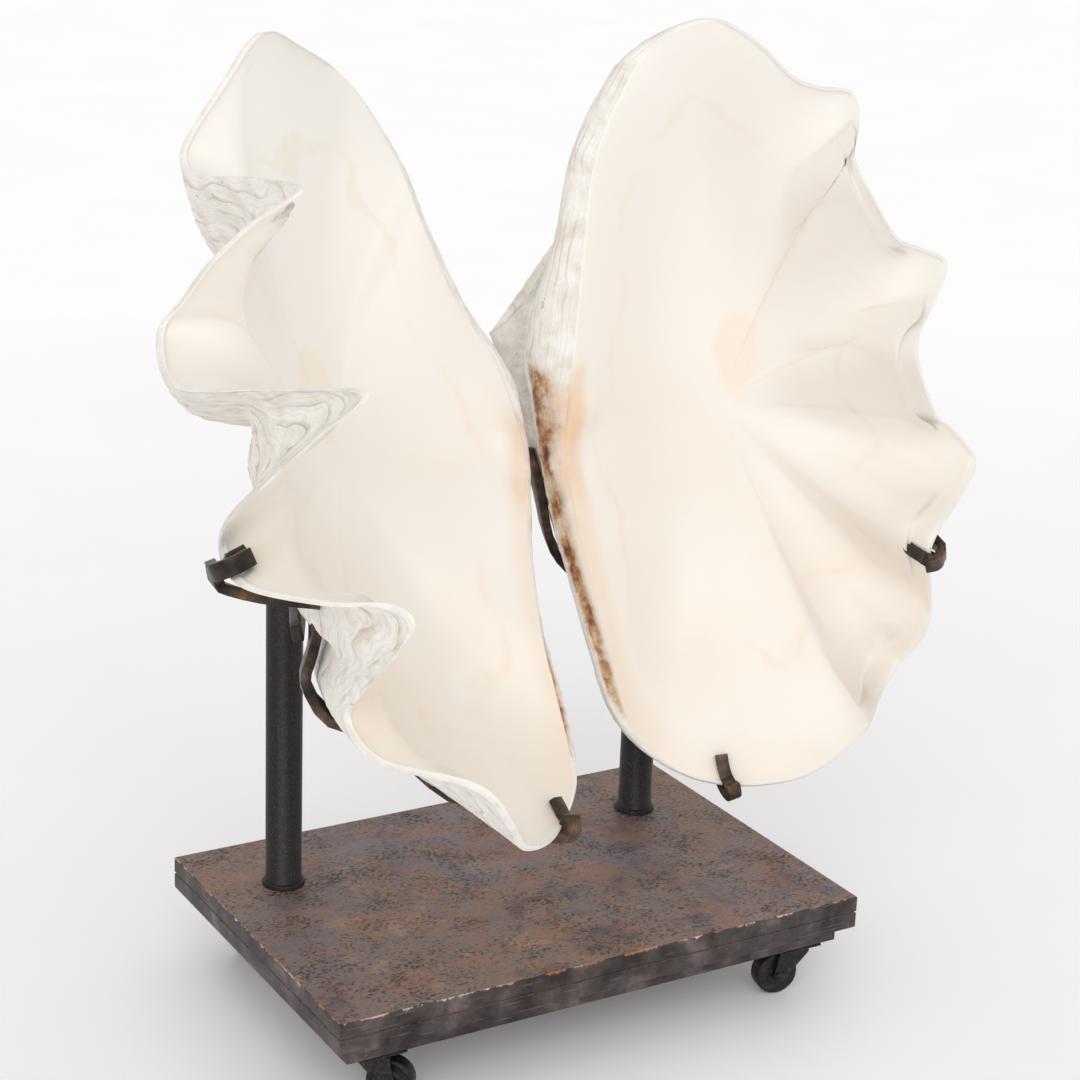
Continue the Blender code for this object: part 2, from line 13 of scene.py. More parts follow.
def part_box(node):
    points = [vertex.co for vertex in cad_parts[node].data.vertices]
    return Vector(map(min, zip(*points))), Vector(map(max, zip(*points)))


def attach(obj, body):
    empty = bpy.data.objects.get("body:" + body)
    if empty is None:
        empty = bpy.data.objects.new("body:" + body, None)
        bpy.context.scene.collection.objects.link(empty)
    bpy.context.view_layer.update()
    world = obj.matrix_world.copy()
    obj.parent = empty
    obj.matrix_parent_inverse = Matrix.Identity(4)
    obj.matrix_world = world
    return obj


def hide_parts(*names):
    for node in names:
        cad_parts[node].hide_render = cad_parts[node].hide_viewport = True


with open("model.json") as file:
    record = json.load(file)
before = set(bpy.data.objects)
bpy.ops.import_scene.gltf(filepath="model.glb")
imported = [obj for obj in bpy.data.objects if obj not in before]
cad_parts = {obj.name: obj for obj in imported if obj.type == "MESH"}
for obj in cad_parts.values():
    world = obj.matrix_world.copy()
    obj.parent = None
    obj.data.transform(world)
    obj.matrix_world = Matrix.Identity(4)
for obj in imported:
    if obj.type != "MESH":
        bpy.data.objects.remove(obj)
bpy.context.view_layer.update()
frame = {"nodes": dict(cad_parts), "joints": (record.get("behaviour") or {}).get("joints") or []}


# Floor, light and camera.
# A matt white studio floor and backdrop, a big soft light overhead and the camera of the photograph.
DECK_CENTRE = Vector((-0.0191, 0.0974, 0.0945))
EYE_FROM_DECK = Vector((-0.993, -1.662, 0.931))
CAMERA_YAW = math.radians(-31.2)
CAMERA_PITCH = math.radians(17.6)
CAMERA_ROLL = math.radians(2.23)
CAMERA_LENS = 79.2
FLOOR_REACH = 14.0
AIR_LIGHT = 0.74
AIR_SEEN = 0.985
SUN_STRENGTH = 0.86


def colour(text):
    # An sRGB hex colour turned to linear light.
    values = [int(text[i:i + 2], 16) / 255.0 for i in (1, 3, 5)]
    linear = [v / 12.92 if v <= 0.04045 else ((v + 0.055) / 1.055) ** 2.4 for v in values]
    return (*linear, 1.0)


def add(tree, kind, inputs=(), stops=None, **settings):
    # Adds a shader node with its settings; a socket given as a value is linked to it.
    node = tree.nodes.new("ShaderNode" + kind)
    for name, value in settings.items():
        setattr(node, name, value)
    for socket, value in dict(inputs).items():
        if isinstance(value, bpy.types.NodeSocket):
            tree.links.new(value, node.inputs[socket])
        else:
            node.inputs[socket].default_value = value
    for n, (place, shade) in enumerate(stops or ()):
        elements = node.color_ramp.elements
        element = elements[n] if n < 2 else elements.new(place)
        element.position = place
        element.color = colour(shade)
    return node


def new_material(name):
    # A material with its node tree, its Principled shader and the object's own coordinates.
    material = bpy.data.materials.new(name)
    material.use_nodes = True
    tree = material.node_tree
    shader = tree.nodes["Principled BSDF"]
    where = add(tree, "TexCoord").outputs["Object"]
    return material, tree, shader, where


def deselect():
    bpy.ops.object.select_all(action="DESELECT")


def dress(piece, material):
    piece.data.materials.clear()
    piece.data.materials.append(material)


studio_paint, tree, shader, where = new_material("matt white studio floor")
mottle = add(tree, "TexNoise", {"Vector": where, "Scale": 3.0, "Detail": 4.0})
tone = add(tree, "ValToRGB", {"Fac": mottle.outputs["Fac"]},
           stops=((0.3, "#F9F7F8"), (0.7, "#FCFBFC")))
tree.links.new(tone.outputs["Color"], shader.inputs["Base Color"])
shader.inputs["Roughness"].default_value = 0.55
far = add(tree, "VectorMath", {0: where}, operation="LENGTH").outputs["Value"]
glow = add(tree, "MapRange", {"Value": far, "From Min": 0.5, "From Max": 3.0, "To Min": 0.06,
                           "To Max": 0.16})
tree.links.new(glow.outputs["Result"], shader.inputs["Emission Strength"])
shader.inputs["Emission Color"].default_value = colour("#FFFFFF")

deselect()
bpy.ops.mesh.primitive_plane_add(size=2.0 * FLOOR_REACH)
floor = bpy.context.object
floor.name = "studio_floor"
dress(floor, studio_paint)

# The air lights the object softly and looks as white as the floor.
bpy.context.scene.view_settings.view_transform = "Standard"
world = bpy.data.worlds.new("studio air")
bpy.context.scene.world = world
world.use_nodes = True
air = world.node_tree
seen = add(air, "LightPath").outputs["Is Camera Ray"]
strength = add(air, "MapRange", {"Value": seen, "To Min": AIR_LIGHT, "To Max": AIR_SEEN})
air.links.new(strength.outputs["Result"], air.nodes["Background"].inputs["Strength"])
air.nodes["Background"].inputs["Color"].default_value = colour("#FFFFFF")

sun_data = bpy.data.lights.new("wide softbox", "SUN")
sun_data.energy = SUN_STRENGTH
sun_data.angle = math.radians(55.0)
sun = bpy.data.objects.new("wide softbox", sun_data)
bpy.context.scene.collection.objects.link(sun)
sun.rotation_euler = Vector((0.42, 0.74, -0.52)).to_track_quat("-Z", "Y").to_euler()

camera_data = bpy.data.cameras.new("photo camera")
camera = bpy.data.objects.new("photo camera", camera_data)
bpy.context.scene.collection.objects.link(camera)
bpy.context.scene.camera = camera
camera_data.lens = CAMERA_LENS
camera_data.sensor_width = 36.0
camera_data.clip_start = 0.05
ahead = Vector((-math.sin(CAMERA_YAW) * math.cos(CAMERA_PITCH),
                math.cos(CAMERA_YAW) * math.cos(CAMERA_PITCH), -math.sin(CAMERA_PITCH)))
level = Vector((math.cos(CAMERA_YAW), math.sin(CAMERA_YAW), 0.0))
upright = level.cross(ahead)
right = level * math.cos(CAMERA_ROLL) + upright * math.sin(CAMERA_ROLL)
above = upright * math.cos(CAMERA_ROLL) - level * math.sin(CAMERA_ROLL)
camera_turn = Matrix((right, above, -ahead)).transposed().to_4x4()
camera_turn.translation = DECK_CENTRE + EYE_FROM_DECK
camera.matrix_world = camera_turn


# Deck.
# Two thick steel slabs, the lower one a little smaller, left to rust under wax: brown and
# violet-grey mottling with dark pits on top, the violet-grey partly a painted sheen; nearly black
# sides with chipped and rubbed edges, whose pale chips crowd towards the top edge as a partly
# painted highlight.
EDGE_ROUND = 0.0010
SEAM_DEEP = 0.0012
SEAM_HALF = 0.0005


def finish_piece(piece, name, materials, body, slot, *nodes):
    # Names a finished piece, gives it its materials and lets it ride on its body.
    piece.name = name
    piece.data.name = name
    faces = [face.material_index for face in piece.data.polygons]
    piece.data.materials.clear()
    for material in materials:
        piece.data.materials.append(material)
    piece.data.polygons.foreach_set("material_index", [min(n, len(materials) - 1) for n in faces])
    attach(piece, body)
    if nodes:
        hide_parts(*nodes)


def settle():
    # Puts the active object's place, turn and size into its mesh.
    bpy.ops.object.transform_apply(location=True, rotation=True, scale=True)


def pick(piece, wanted):
    # Selects, in edit mode, the points that the test names.
    bpy.ops.mesh.select_all(action="DESELECT")
    bpy.ops.mesh.select_mode(type="VERT")
    bpy.ops.object.mode_set(mode="OBJECT")
    for vertex in piece.data.vertices:
        vertex.select = bool(wanted(vertex.co))
    bpy.ops.object.mode_set(mode="EDIT")


def slab(node, seam):
    # A plate as big as the node's box, with a fine seam round its sides where two plates meet.
    low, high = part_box(node)
    middle, size = (low + high) / 2.0, high - low
    deselect()
    bpy.ops.mesh.primitive_cube_add(size=1.0, location=middle, scale=size)
    settle()
    plate = bpy.context.object
    bpy.ops.object.mode_set(mode="EDIT")
    if seam:
        for lift in (-2.0 * SEAM_HALF, -SEAM_HALF, SEAM_HALF, 2.0 * SEAM_HALF):
            bpy.ops.mesh.select_all(action="SELECT")
            bpy.ops.mesh.bisect(plane_co=(middle.x, middle.y, middle.z + lift), plane_no=(0, 0, 1))
        pick(plate, lambda co: abs(co.z - middle.z) < SEAM_HALF * 1.5)
        squeeze = (1.0 - 2.0 * SEAM_DEEP / size.x, 1.0 - 2.0 * SEAM_DEEP / size.y, 1.0)
        bpy.ops.transform.resize(value=squeeze, center_override=middle)
    pick(plate, lambda co: abs(co.z - middle.z) > 0.4 * size.z)
    bpy.ops.mesh.bevel(offset=EDGE_ROUND, segments=3, affect="EDGES")
    bpy.ops.object.mode_set(mode="OBJECT")
    bpy.ops.object.shade_smooth_by_angle(angle=math.radians(35.0))
    for face in plate.data.polygons:
        face.material_index = 0 if face.normal.z > 0.9 else 1
    return plate


# Hot-rolled plate steel, rusted and waxed: clouds of brown, rust and violet-grey about 60 mm
# across, broken up by grains of 6 mm and by dark pits of 2 to 4 mm. The violet-grey is partly the
# steel's own grey and partly a painted sheen.
deck_top_steel, tree, shader, where = new_material("rusted and waxed plate steel")
cloud = add(tree, "TexNoise", {"Vector": where, "Scale": 13.0, "Detail": 8.0, "Roughness": 0.7})
rust = add(tree, "ValToRGB", {"Fac": cloud.outputs["Fac"]},
           stops=((0.34, "#54494A"), (0.70, "#96755F"), (0.42, "#706160"), (0.48, "#857064"),
                  (0.55, "#776966"), (0.62, "#9A7F6C")))
# Painted sheen: these violet-grey clouds are partly the steel's own grey and partly a painted sheen.
grey_and_sheen_cloud = add(tree, "TexNoise", {"Vector": where, "Scale": 7.0, "Detail": 5.0, "Distortion": 0.6})
grey_and_sheen_mask = add(tree, "ValToRGB", {"Fac": grey_and_sheen_cloud.outputs["Fac"]},
             stops=((0.45, "#000000"), (0.66, "#B0B0B0")))
grey_and_sheen_tinted = add(tree, "Mix", {0: grey_and_sheen_mask.outputs["Color"], 6: rust.outputs["Color"], 7: colour("#716C7C")},
             data_type="RGBA")
flow = add(tree, "Mapping", {"Vector": where, "Scale": (1.0, 1.5, 1.0)})
pits = add(tree, "TexNoise", {"Vector": flow.outputs["Vector"], "Scale": 290.0, "Detail": 4.0,
                              "Roughness": 0.6})
gathered = add(tree, "TexNoise", {"Vector": where, "Scale": 22.0, "Detail": 3.0})
crowd = add(tree, "Math", {0: gathered.outputs["Fac"], 1: 0.45, 2: 0.0}, operation="MULTIPLY_ADD")
pitted = add(tree, "Math", {0: pits.outputs["Fac"], 1: crowd.outputs[0]}, operation="ADD")
pit = add(tree, "ValToRGB", {"Fac": pitted.outputs[0]},
          stops=((0.77, "#000000"), (0.85, "#F0F0F0")))
spotted = add(tree, "Mix", {0: pit.outputs["Color"], 6: grey_and_sheen_tinted.outputs[2], 7: colour("#33261F")},
              data_type="RGBA")
orange = add(tree, "TexNoise", {"Vector": where, "Scale": 17.0, "Detail": 9.0, "Roughness": 0.72})
orange_mask = add(tree, "ValToRGB", {"Fac": orange.outputs["Fac"]},
                  stops=((0.45, "#000000"), (0.62, "#B8B8B8")))
rusted = add(tree, "Mix", {0: orange_mask.outputs["Color"], 6: spotted.outputs[2], 7: colour("#A16C4A")},
             data_type="RGBA")
tree.links.new(rusted.outputs[2], shader.inputs["Base Color"])
gloss = add(tree, "MapRange", {"Value": pitted.outputs[0], "From Min": 0.5, "From Max": 0.9,
                               "To Min": 0.38, "To Max": 0.66})
tree.links.new(gloss.outputs["Result"], shader.inputs["Roughness"])
shader.inputs["Metallic"].default_value = 0.15
relief = add(tree, "Bump", {"Height": pitted.outputs[0], "Strength": 0.35, "Distance": 0.0008},
             invert=True)
tree.links.new(relief.outputs["Normal"], shader.inputs["Normal"])

# The same plate's sides, black from the mill: fine scratches, and bare steel and rust that shows
# where the arrises have been knocked. The pale flecks crowd towards the top edge, where they are
# partly wear and partly a painted highlight.
deck_side_steel, tree, shader, where = new_material("black mill edge of plate steel")
cloud = add(tree, "TexNoise", {"Vector": where, "Scale": 26.0, "Detail": 7.0, "Roughness": 0.65})
black = add(tree, "ValToRGB", {"Fac": cloud.outputs["Fac"]},
            stops=((0.38, "#241C1B"), (0.72, "#7A6C6A"), (0.55, "#4A403F")))
drawn = add(tree, "Mapping", {"Vector": where, "Scale": (1.0, 1.0, 16.0)})
streak = add(tree, "TexNoise", {"Vector": drawn.outputs["Vector"], "Scale": 30.0, "Detail": 6.0})
streak_mask = add(tree, "ValToRGB", {"Fac": streak.outputs["Fac"]},
                  stops=((0.62, "#000000"), (0.70, "#909090")))
streaked = add(tree, "Mix", {0: streak_mask.outputs["Color"], 6: black.outputs["Color"],
                             7: colour("#9C9290")}, data_type="RGBA")
height = add(tree, "SeparateXYZ", {"Vector": where}).outputs["Z"]
# Painted highlight: the chips gather towards the top edge, so their pale tone there is partly wear and
# partly a painted highlight on the upper arris.
to_edge = add(tree, "MapRange", {"Value": height, "From Min": DECK_CENTRE.z - 0.0045,
                                 "From Max": DECK_CENTRE.z, "To Min": -0.12, "To Max": 0.15})
chip = add(tree, "TexNoise", {"Vector": where, "Scale": 75.0, "Detail": 5.0, "Roughness": 0.7})
chips_and_highlight = add(tree, "Math", {0: chip.outputs["Fac"], 1: to_edge.outputs["Result"]}, operation="ADD")
chip_and_highlight_mask = add(tree, "ValToRGB", {"Fac": chips_and_highlight.outputs[0]},
                stops=((0.60, "#000000"), (0.66, "#FFFFFF")))
bare_and_highlight_noise = add(tree, "TexNoise", {"Vector": where, "Scale": 12.0, "Detail": 2.0})
bare_and_highlight_tone = add(tree, "ValToRGB", {"Fac": bare_and_highlight_noise.outputs["Fac"]},
                stops=((0.42, "#A8673A"), (0.58, "#CDBFB0")))
worn = add(tree, "Mix", {0: chip_and_highlight_mask.outputs["Color"], 6: streaked.outputs[2],
                         7: bare_and_highlight_tone.outputs["Color"]}, data_type="RGBA")
tree.links.new(worn.outputs[2], shader.inputs["Base Color"])
shader.inputs["Roughness"].default_value = 0.48
shader.inputs["Metallic"].default_value = 0.2
relief = add(tree, "Bump", {"Height": chip.outputs["Fac"], "Strength": 0.4, "Distance": 0.0008})
tree.links.new(relief.outputs["Normal"], shader.inputs["Normal"])

finish_piece(slab("deck_top_slab", True), "deck_top_plate", (deck_top_steel, deck_side_steel),
             "stand", "deck", "deck_top_slab")
finish_piece(slab("deck_lower_slab", False), "deck_lower_plate", (deck_side_steel, deck_side_steel),
             "stand", "deck", "deck_lower_slab")


# Casters.
# Four small cast-iron furniture casters: a plate with screwed corners, a swivelling fork and a
# solid wheel on a nutted axle, all blackened and rubbed bright in places.
CASTERS = ("front_left", "front_right", "back_left", "back_right")
SCREW_RADIUS = 0.0032
SCREW_TALL = 0.0012
SCREW_OUT = 0.0152
NUT_RADIUS = 0.0052
NUT_THICK = 0.0016


def soft_edges(piece, rounding, angle):
    # Rounds the active object's edges that are sharper than the angle and shades it smooth.
    soften = piece.modifiers.new("rounding", "BEVEL")
    soften.width = rounding
    soften.segments = 2
    soften.limit_method = "ANGLE"
    soften.angle_limit = math.radians(angle)
    bpy.ops.object.modifier_apply(modifier="rounding")
    bpy.ops.object.shade_smooth_by_angle(angle=math.radians(40.0))


def smoothed_copy(node, rounding, angle):
    # The node's own shape with its edges rounded.
    made = bpy.data.objects.new(node + "_made", frame["nodes"][node].data.copy())
    bpy.context.scene.collection.objects.link(made)
    deselect()
    made.select_set(True)
    bpy.context.view_layer.objects.active = made
    bpy.ops.object.mode_set(mode="EDIT")
    bpy.ops.mesh.select_all(action="SELECT")
    bpy.ops.mesh.remove_doubles(threshold=0.00001)
    bpy.ops.object.mode_set(mode="OBJECT")
    soft_edges(made, rounding, angle)
    return made


def round_off(piece, amount):
    # Bevels the active object's sharp edges and shades it smooth.
    bpy.ops.object.mode_set(mode="EDIT")
    bpy.ops.mesh.select_all(action="SELECT")
    bpy.ops.mesh.bevel(offset=amount, segments=2, affect="EDGES")
    bpy.ops.object.mode_set(mode="OBJECT")
    bpy.ops.object.shade_smooth_by_angle(angle=math.radians(35.0))


black_iron, tree, shader, where = new_material("blackened cast iron")
specks = add(tree, "TexNoise", {"Vector": where, "Scale": 260.0, "Detail": 5.0, "Roughness": 0.6})
tone = add(tree, "ValToRGB", {"Fac": specks.outputs["Fac"]},
           stops=((0.40, "#171415"), (0.78, "#6E625C"), (0.62, "#332D2C")))
tree.links.new(tone.outputs["Color"], shader.inputs["Base Color"])
shader.inputs["Roughness"].default_value = 0.42
shader.inputs["Metallic"].default_value = 0.45
relief = add(tree, "Bump", {"Height": specks.outputs["Fac"], "Strength": 0.25, "Distance": 0.0005})
tree.links.new(relief.outputs["Normal"], shader.inputs["Normal"])

for corner in CASTERS:
    plate = "caster_plate_" + corner
    fork = "caster_fork_" + corner
    wheel = "caster_wheel_" + corner
    finish_piece(smoothed_copy(plate, 0.0004, 30.0), "plate_" + corner, (black_iron,),
                 "stand", "caster", plate)
    finish_piece(smoothed_copy(fork, 0.0004, 30.0), "fork_cheeks_" + corner, (black_iron,),
                 "fork_" + corner, "caster", fork)
    finish_piece(smoothed_copy(wheel, 0.0004, 30.0), "roller_" + corner, (black_iron,),
                 "wheel_" + corner, "wheel", wheel)
    low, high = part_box(plate)
    middle = (low + high) / 2.0
    under = high.z - 0.002
    for n, (side_x, side_y) in enumerate(((-1, -1), (1, -1), (-1, 1), (1, 1))):
        deselect()
        spot = (middle.x + side_x * SCREW_OUT, middle.y + side_y * SCREW_OUT, under - SCREW_TALL / 2.0)
        bpy.ops.mesh.primitive_cylinder_add(vertices=18, radius=SCREW_RADIUS, depth=SCREW_TALL,
                                            location=spot)
        settle()
        screw = bpy.context.object
        round_off(screw, 0.0004)
        finish_piece(screw, "screw_" + corner + "_" + str(n), (black_iron,), "stand", "caster")
    spin = next(j for j in frame["joints"] if j["name"] == "wheel_spin_" + corner)
    axle = Vector(spin["pos_m"])
    along = Vector(spin["axis"]).normalized()
    for n, side in enumerate((-1.0, 1.0)):
        deselect()
        bpy.ops.mesh.primitive_cylinder_add(vertices=6, radius=NUT_RADIUS, depth=NUT_THICK,
                                            location=axle + along * side * (0.013 + NUT_THICK / 2.0),
                                            rotation=along.to_track_quat("Z", "Y").to_euler())
        settle()
        nut = bpy.context.object
        round_off(nut, 0.0003)
        finish_piece(nut, "axle_nut_" + corner + "_" + str(n), (black_iron,), "fork_" + corner, "caster")


# Posts.
# Two 32 mm round steel bars, blackened and waxed, welded to the deck with a small lumpy bead.
BEAD_RADIUS = 0.0165
BEAD_THICK = 0.0021
BEAD_LIFT = 0.0022
BEAD_UNEVEN = 0.0005

black_steel, tree, shader, where = new_material("blackened round bar steel")
specks = add(tree, "TexNoise", {"Vector": where, "Scale": 420.0, "Detail": 5.0, "Roughness": 0.7})
tone = add(tree, "ValToRGB", {"Fac": specks.outputs["Fac"]},
           stops=((0.40, "#191717"), (0.80, "#5F5650"), (0.60, "#2C2826")))
tree.links.new(tone.outputs["Color"], shader.inputs["Base Color"])
shader.inputs["Roughness"].default_value = 0.40
shader.inputs["Metallic"].default_value = 0.4
relief = add(tree, "Bump", {"Height": specks.outputs["Fac"], "Strength": 0.25, "Distance": 0.0006})
tree.links.new(relief.outputs["Normal"], shader.inputs["Normal"])

for n, post in enumerate(("left_post", "right_post")):
    finish_piece(smoothed_copy(post, 0.0008, 50.0), post + "_round", (black_steel,),
                 "stand", "post", post)
    low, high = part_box(post)
    middle = (low + high) / 2.0
    deselect()
    bpy.ops.mesh.primitive_torus_add(location=(middle.x, middle.y, low.z + BEAD_LIFT),
                                     major_radius=BEAD_RADIUS, minor_radius=BEAD_THICK,
                                     major_segments=72, minor_segments=10)
    settle()
    bead = bpy.context.object
    bpy.ops.object.mode_set(mode="EDIT")
    bpy.ops.mesh.select_all(action="SELECT")
    bpy.ops.transform.vertex_random(offset=BEAD_UNEVEN, seed=n + 3)
    bpy.ops.object.mode_set(mode="OBJECT")
    bpy.ops.object.shade_smooth()
    finish_piece(bead, post + "_weld_bead", (black_steel,), "stand", "post")


# Bars.
# Square-edged steel bar, heated and bent by hand along the outside of each valve: brown and
# bronze in patches from the heat, with its arrises slightly rounded.
brown_steel, tree, shader, where = new_material("heat-browned bar steel")
heat = add(tree, "TexNoise", {"Vector": where, "Scale": 45.0, "Detail": 7.0, "Roughness": 0.65})
tone = add(tree, "ValToRGB", {"Fac": heat.outputs["Fac"]},
           stops=((0.36, "#1E1917"), (0.74, "#8A6A4C"), (0.50, "#3B2E27"), (0.62, "#5E4837")))
tree.links.new(tone.outputs["Color"], shader.inputs["Base Color"])
shader.inputs["Roughness"].default_value = 0.38
shader.inputs["Metallic"].default_value = 0.45
relief = add(tree, "Bump", {"Height": heat.outputs["Fac"], "Strength": 0.3, "Distance": 0.0008})
tree.links.new(relief.outputs["Normal"], shader.inputs["Normal"])

for bar in ("left_cradle_bar", "right_cradle_bar", "left_rest_bar", "right_rest_bar"):
    finish_piece(smoothed_copy(bar, 0.0012, 45.0), bar + "_bent", (brown_steel,), "stand", "bar", bar)


# The two valves.
# Halves of one giant clam, grown in one piece each: porcelain-like cream inside, chalky and
# layered with growth lines outside, folded along the free margin and thick at the hinge.
LIP = 6.0
HINGE_WALL = 36.0
BEAK = np.array((40.0, -60.0, -58.0))
BULGE = 0.20
FRONT_HOLLOW = 60.0
BOWL_CENTRE = np.array((-20.0, 150.0))
BOWL_DEPTH = 78.0
SHOULDER = (-14.0, 14.0)
THINNEST = 8.0
LEFT_POSE = (-1.0, 38.9, 28.0, 19.6, (-0.031, -0.013, 0.437))
RIGHT_POSE = (1.0, 27.0, 7.0, 0.0, (0.049, 0.034, 0.437))
LEFT_MARGIN = (
    # from the beak up the front edge to the top corner
    (35, -5, 0), (93, 38, 0), (160, 60, 0), (219, 58, -8), (280, 100, -10), (287, 180, 0),
    (277, 247, 8),
    # first fold out and first fold in
    (245, 260, -30), (214, 260, -75), (182, 278, -58), (150, 302, 0), (108, 342, 60), (100, 344, 20),
    (89, 337, -28),
    # second fold out and second fold in
    (77, 325, -66), (64, 318, -98), (8, 355, -70), (-25, 362, 10), (-60, 382, 90), (-76, 384, 48),
    (-88, 376, 0),
    # third fold out and third fold in
    (-98, 353, -56), (-114, 338, -78), (-148, 362, -50), (-180, 366, 10), (-194, 354, 48),
    (-211, 352, 62), (-225, 340, 38), (-235, 304, -18),
    # fourth fold out, fourth fold in and the tail
    (-248, 288, -45), (-284, 300, -20), (-316, 298, 38), (-333, 284, 50), (-350, 255, 42),
    (-364, 200, 20), (-357, 135, 10), (-325, 82, 5),
    # back up the hinge line
    (-290, 58, 0), (-242, 54, 0), (-195, 52, 0), (-133, 35, 0), (-80, 11, 0), (-30, -10, 0),
)
RIGHT_MARGIN = (
    # from the beak up the front edge to the top corner
    (25, 11, 0), (72, 14, 0), (119, 17, 0), (178, 21, 0), (216, 30, 0), (250, 44, 0), (281, 61, 0),
    (305, 90, 6), (313, 122, 10), (294, 157, 14), (268, 188, 6),
    # first horn and the fold after it
    (260, 215, -15), (257, 246, -36), (235, 252, -22), (202, 240, 28), (171, 253, 46),
    (136, 283, 8), (125, 312, -28),
    # second horn and the fold after it
    (112, 341, -48), (82, 327, -20), (58, 302, 34), (32, 299, 50), (-15, 326, 8), (-34, 353, -34),
    # third horn and the fold after it
    (-64, 380, -56), (-90, 362, -26), (-112, 327, 38), (-136, 320, 42), (-168, 333, 0),
    # fourth horn, a faint fifth one and the tail
    (-204, 345, -42), (-222, 330, -14), (-233, 303, 26), (-265, 289, 20), (-304, 292, -30),
    (-319, 272, -14), (-333, 244, 6), (-344, 214, 12), (-349, 169, 12), (-343, 125, 5),
    (-320, 89, 0),
    # back up the hinge line
    (-285, 66, 0), (-231, 50, 0), (-168, 33, 0), (-115, 18, 0), (-53, 6, 0),
)
FINE_SPACING = 4.2
OUTSIDE_COUNT = 94
WALL_COUNT = 16
INSIDE_COUNT = 42
COARSE_SPACING = 12.0
EVENING_ROUNDS = 700
LEAST_WALL_SHARE = 0.85
GROWTH_LAYERS = 24.0
GROWTH_DEEP = 1.4
HINGE_LAYERS = 6.0
HINGE_LAYER_DEEP = 1.3
LIGAMENT_DEEP = 6.0
TOOTH_TALL = 5.5
SOCKET_DEEP = 3.0
SCAR_UP = 24.0
SCAR_OUT = 168.0
SCAR_TALL = 40.0
SCAR_WIDE = 27.0


def step(low, high, value):
    t = np.clip((value - low) / (high - low), 0.0, 1.0)
    return t * t * (3.0 - 2.0 * t)


def edge_at(margin, place):
    # The margin at places between the rows of its table.
    rows = np.array(margin, float)
    place = np.asarray(place, float)
    i = np.floor(place).astype(int)
    t = (place - i)[..., None]
    before, start, end, after = (rows[(i + k) % len(rows)] for k in (-1, 0, 1, 2))
    return 0.5 * (2.0 * start + (end - before) * t
                  + (2.0 * before - 5.0 * start + 4.0 * end - after) * t ** 2
                  + (3.0 * start - before - 3.0 * end + after) * t ** 3)


def places_along(margin, spacing):
    rows = np.array(margin, float)
    places = []
    for i in range(len(rows)):
        steps = max(1, round(float(np.linalg.norm(rows[(i + 1) % len(rows)] - rows[i])) / spacing))
        places += [i + k / steps for k in range(steps)]
    return np.array(places)


def soft_swing(margin, place):
    weights = (1.0, 3.0, 6.0, 7.0, 6.0, 3.0, 1.0)
    total = sum(w * edge_at(margin, place + 0.7 * (k - 3))[..., 2] for k, w in enumerate(weights))
    return 0.9 * total / sum(weights)


def soft_reach(margin, place):
    # How far the margin lies from the bowl's centre, with its folds evened out.
    weights = (1.0, 3.0, 6.0, 7.0, 6.0, 3.0, 1.0)
    total = 0.0
    for k, w in enumerate(weights):
        flat = edge_at(margin, place + 1.5 * (k - 3))[..., :2]
        total += w * np.linalg.norm(flat - BOWL_CENTRE, axis=-1)
    return total / sum(weights)


def hinge_side(edge):
    # 1 along the hinge line, falling to 0 along the free margin.
    return 1.0 - step(20.0, 140.0, edge[..., 1])


def outer_edge(edge):
    hinge = hinge_side(edge)
    wall = LIP + HINGE_WALL * hinge
    overhang = hinge * (14.0 + 26.0 * np.exp(-((edge[..., 0] - 40.0) / 75.0) ** 2))
    away = edge[..., :2] - BOWL_CENTRE
    away /= np.linalg.norm(away, axis=-1, keepdims=True)
    lip = away * (0.4 * LIP * (1.0 - hinge))[..., None]
    return np.stack((edge[..., 0] + lip[..., 0], edge[..., 1] + lip[..., 1] - overhang,
                     edge[..., 2] - wall), axis=-1)


def fold_at(margin, place, edge, g, soft_until, sharp_from):
    soft = soft_swing(margin, place)
    return soft + (edge[..., 2] - soft) * step(soft_until, sharp_from, g)


def outside_grid(margin, places, g):
    # The outside from the beak (g = 0) to the rim (g = 1), one row of points for each g.
    edge = edge_at(margin, places)
    rim = outer_edge(edge)
    g = np.asarray(g, float)[:, None]
    flat = rim[:, :2] - BEAK[:2]
    wall = edge[:, 2] - rim[:, 2]
    hollow = (FRONT_HOLLOW * step(60.0, 220.0, edge[:, 0]) * (1.0 - step(30.0, 150.0, edge[:, 1])))
    across = BEAK[1] + flat[:, 1] * g + hollow * g * (1.0 - g) ** 1.5 * 2.8
    bulge = BULGE * (1.0 - 0.7 * hinge_side(edge)) * np.linalg.norm(flat, axis=-1)
    depth = BEAK[2] * (1.0 - g) - wall * g - 4.0 * bulge * g * (1.0 - g)
    fold = fold_at(margin, places, edge, g, 0.45, 0.80) * g ** 1.25
    rising = fold_at(margin, places, edge, g, 0.80, 1.0) * g * step(0.68, 1.0, g) - 1.5 * (1.0 - g)
    fold = np.where(fold > 0.0, np.minimum(fold * step(0.58, 1.0, g), rising), fold)
    return np.stack((BEAK[0] + flat[:, 0] * g, across, depth + fold), axis=-1)


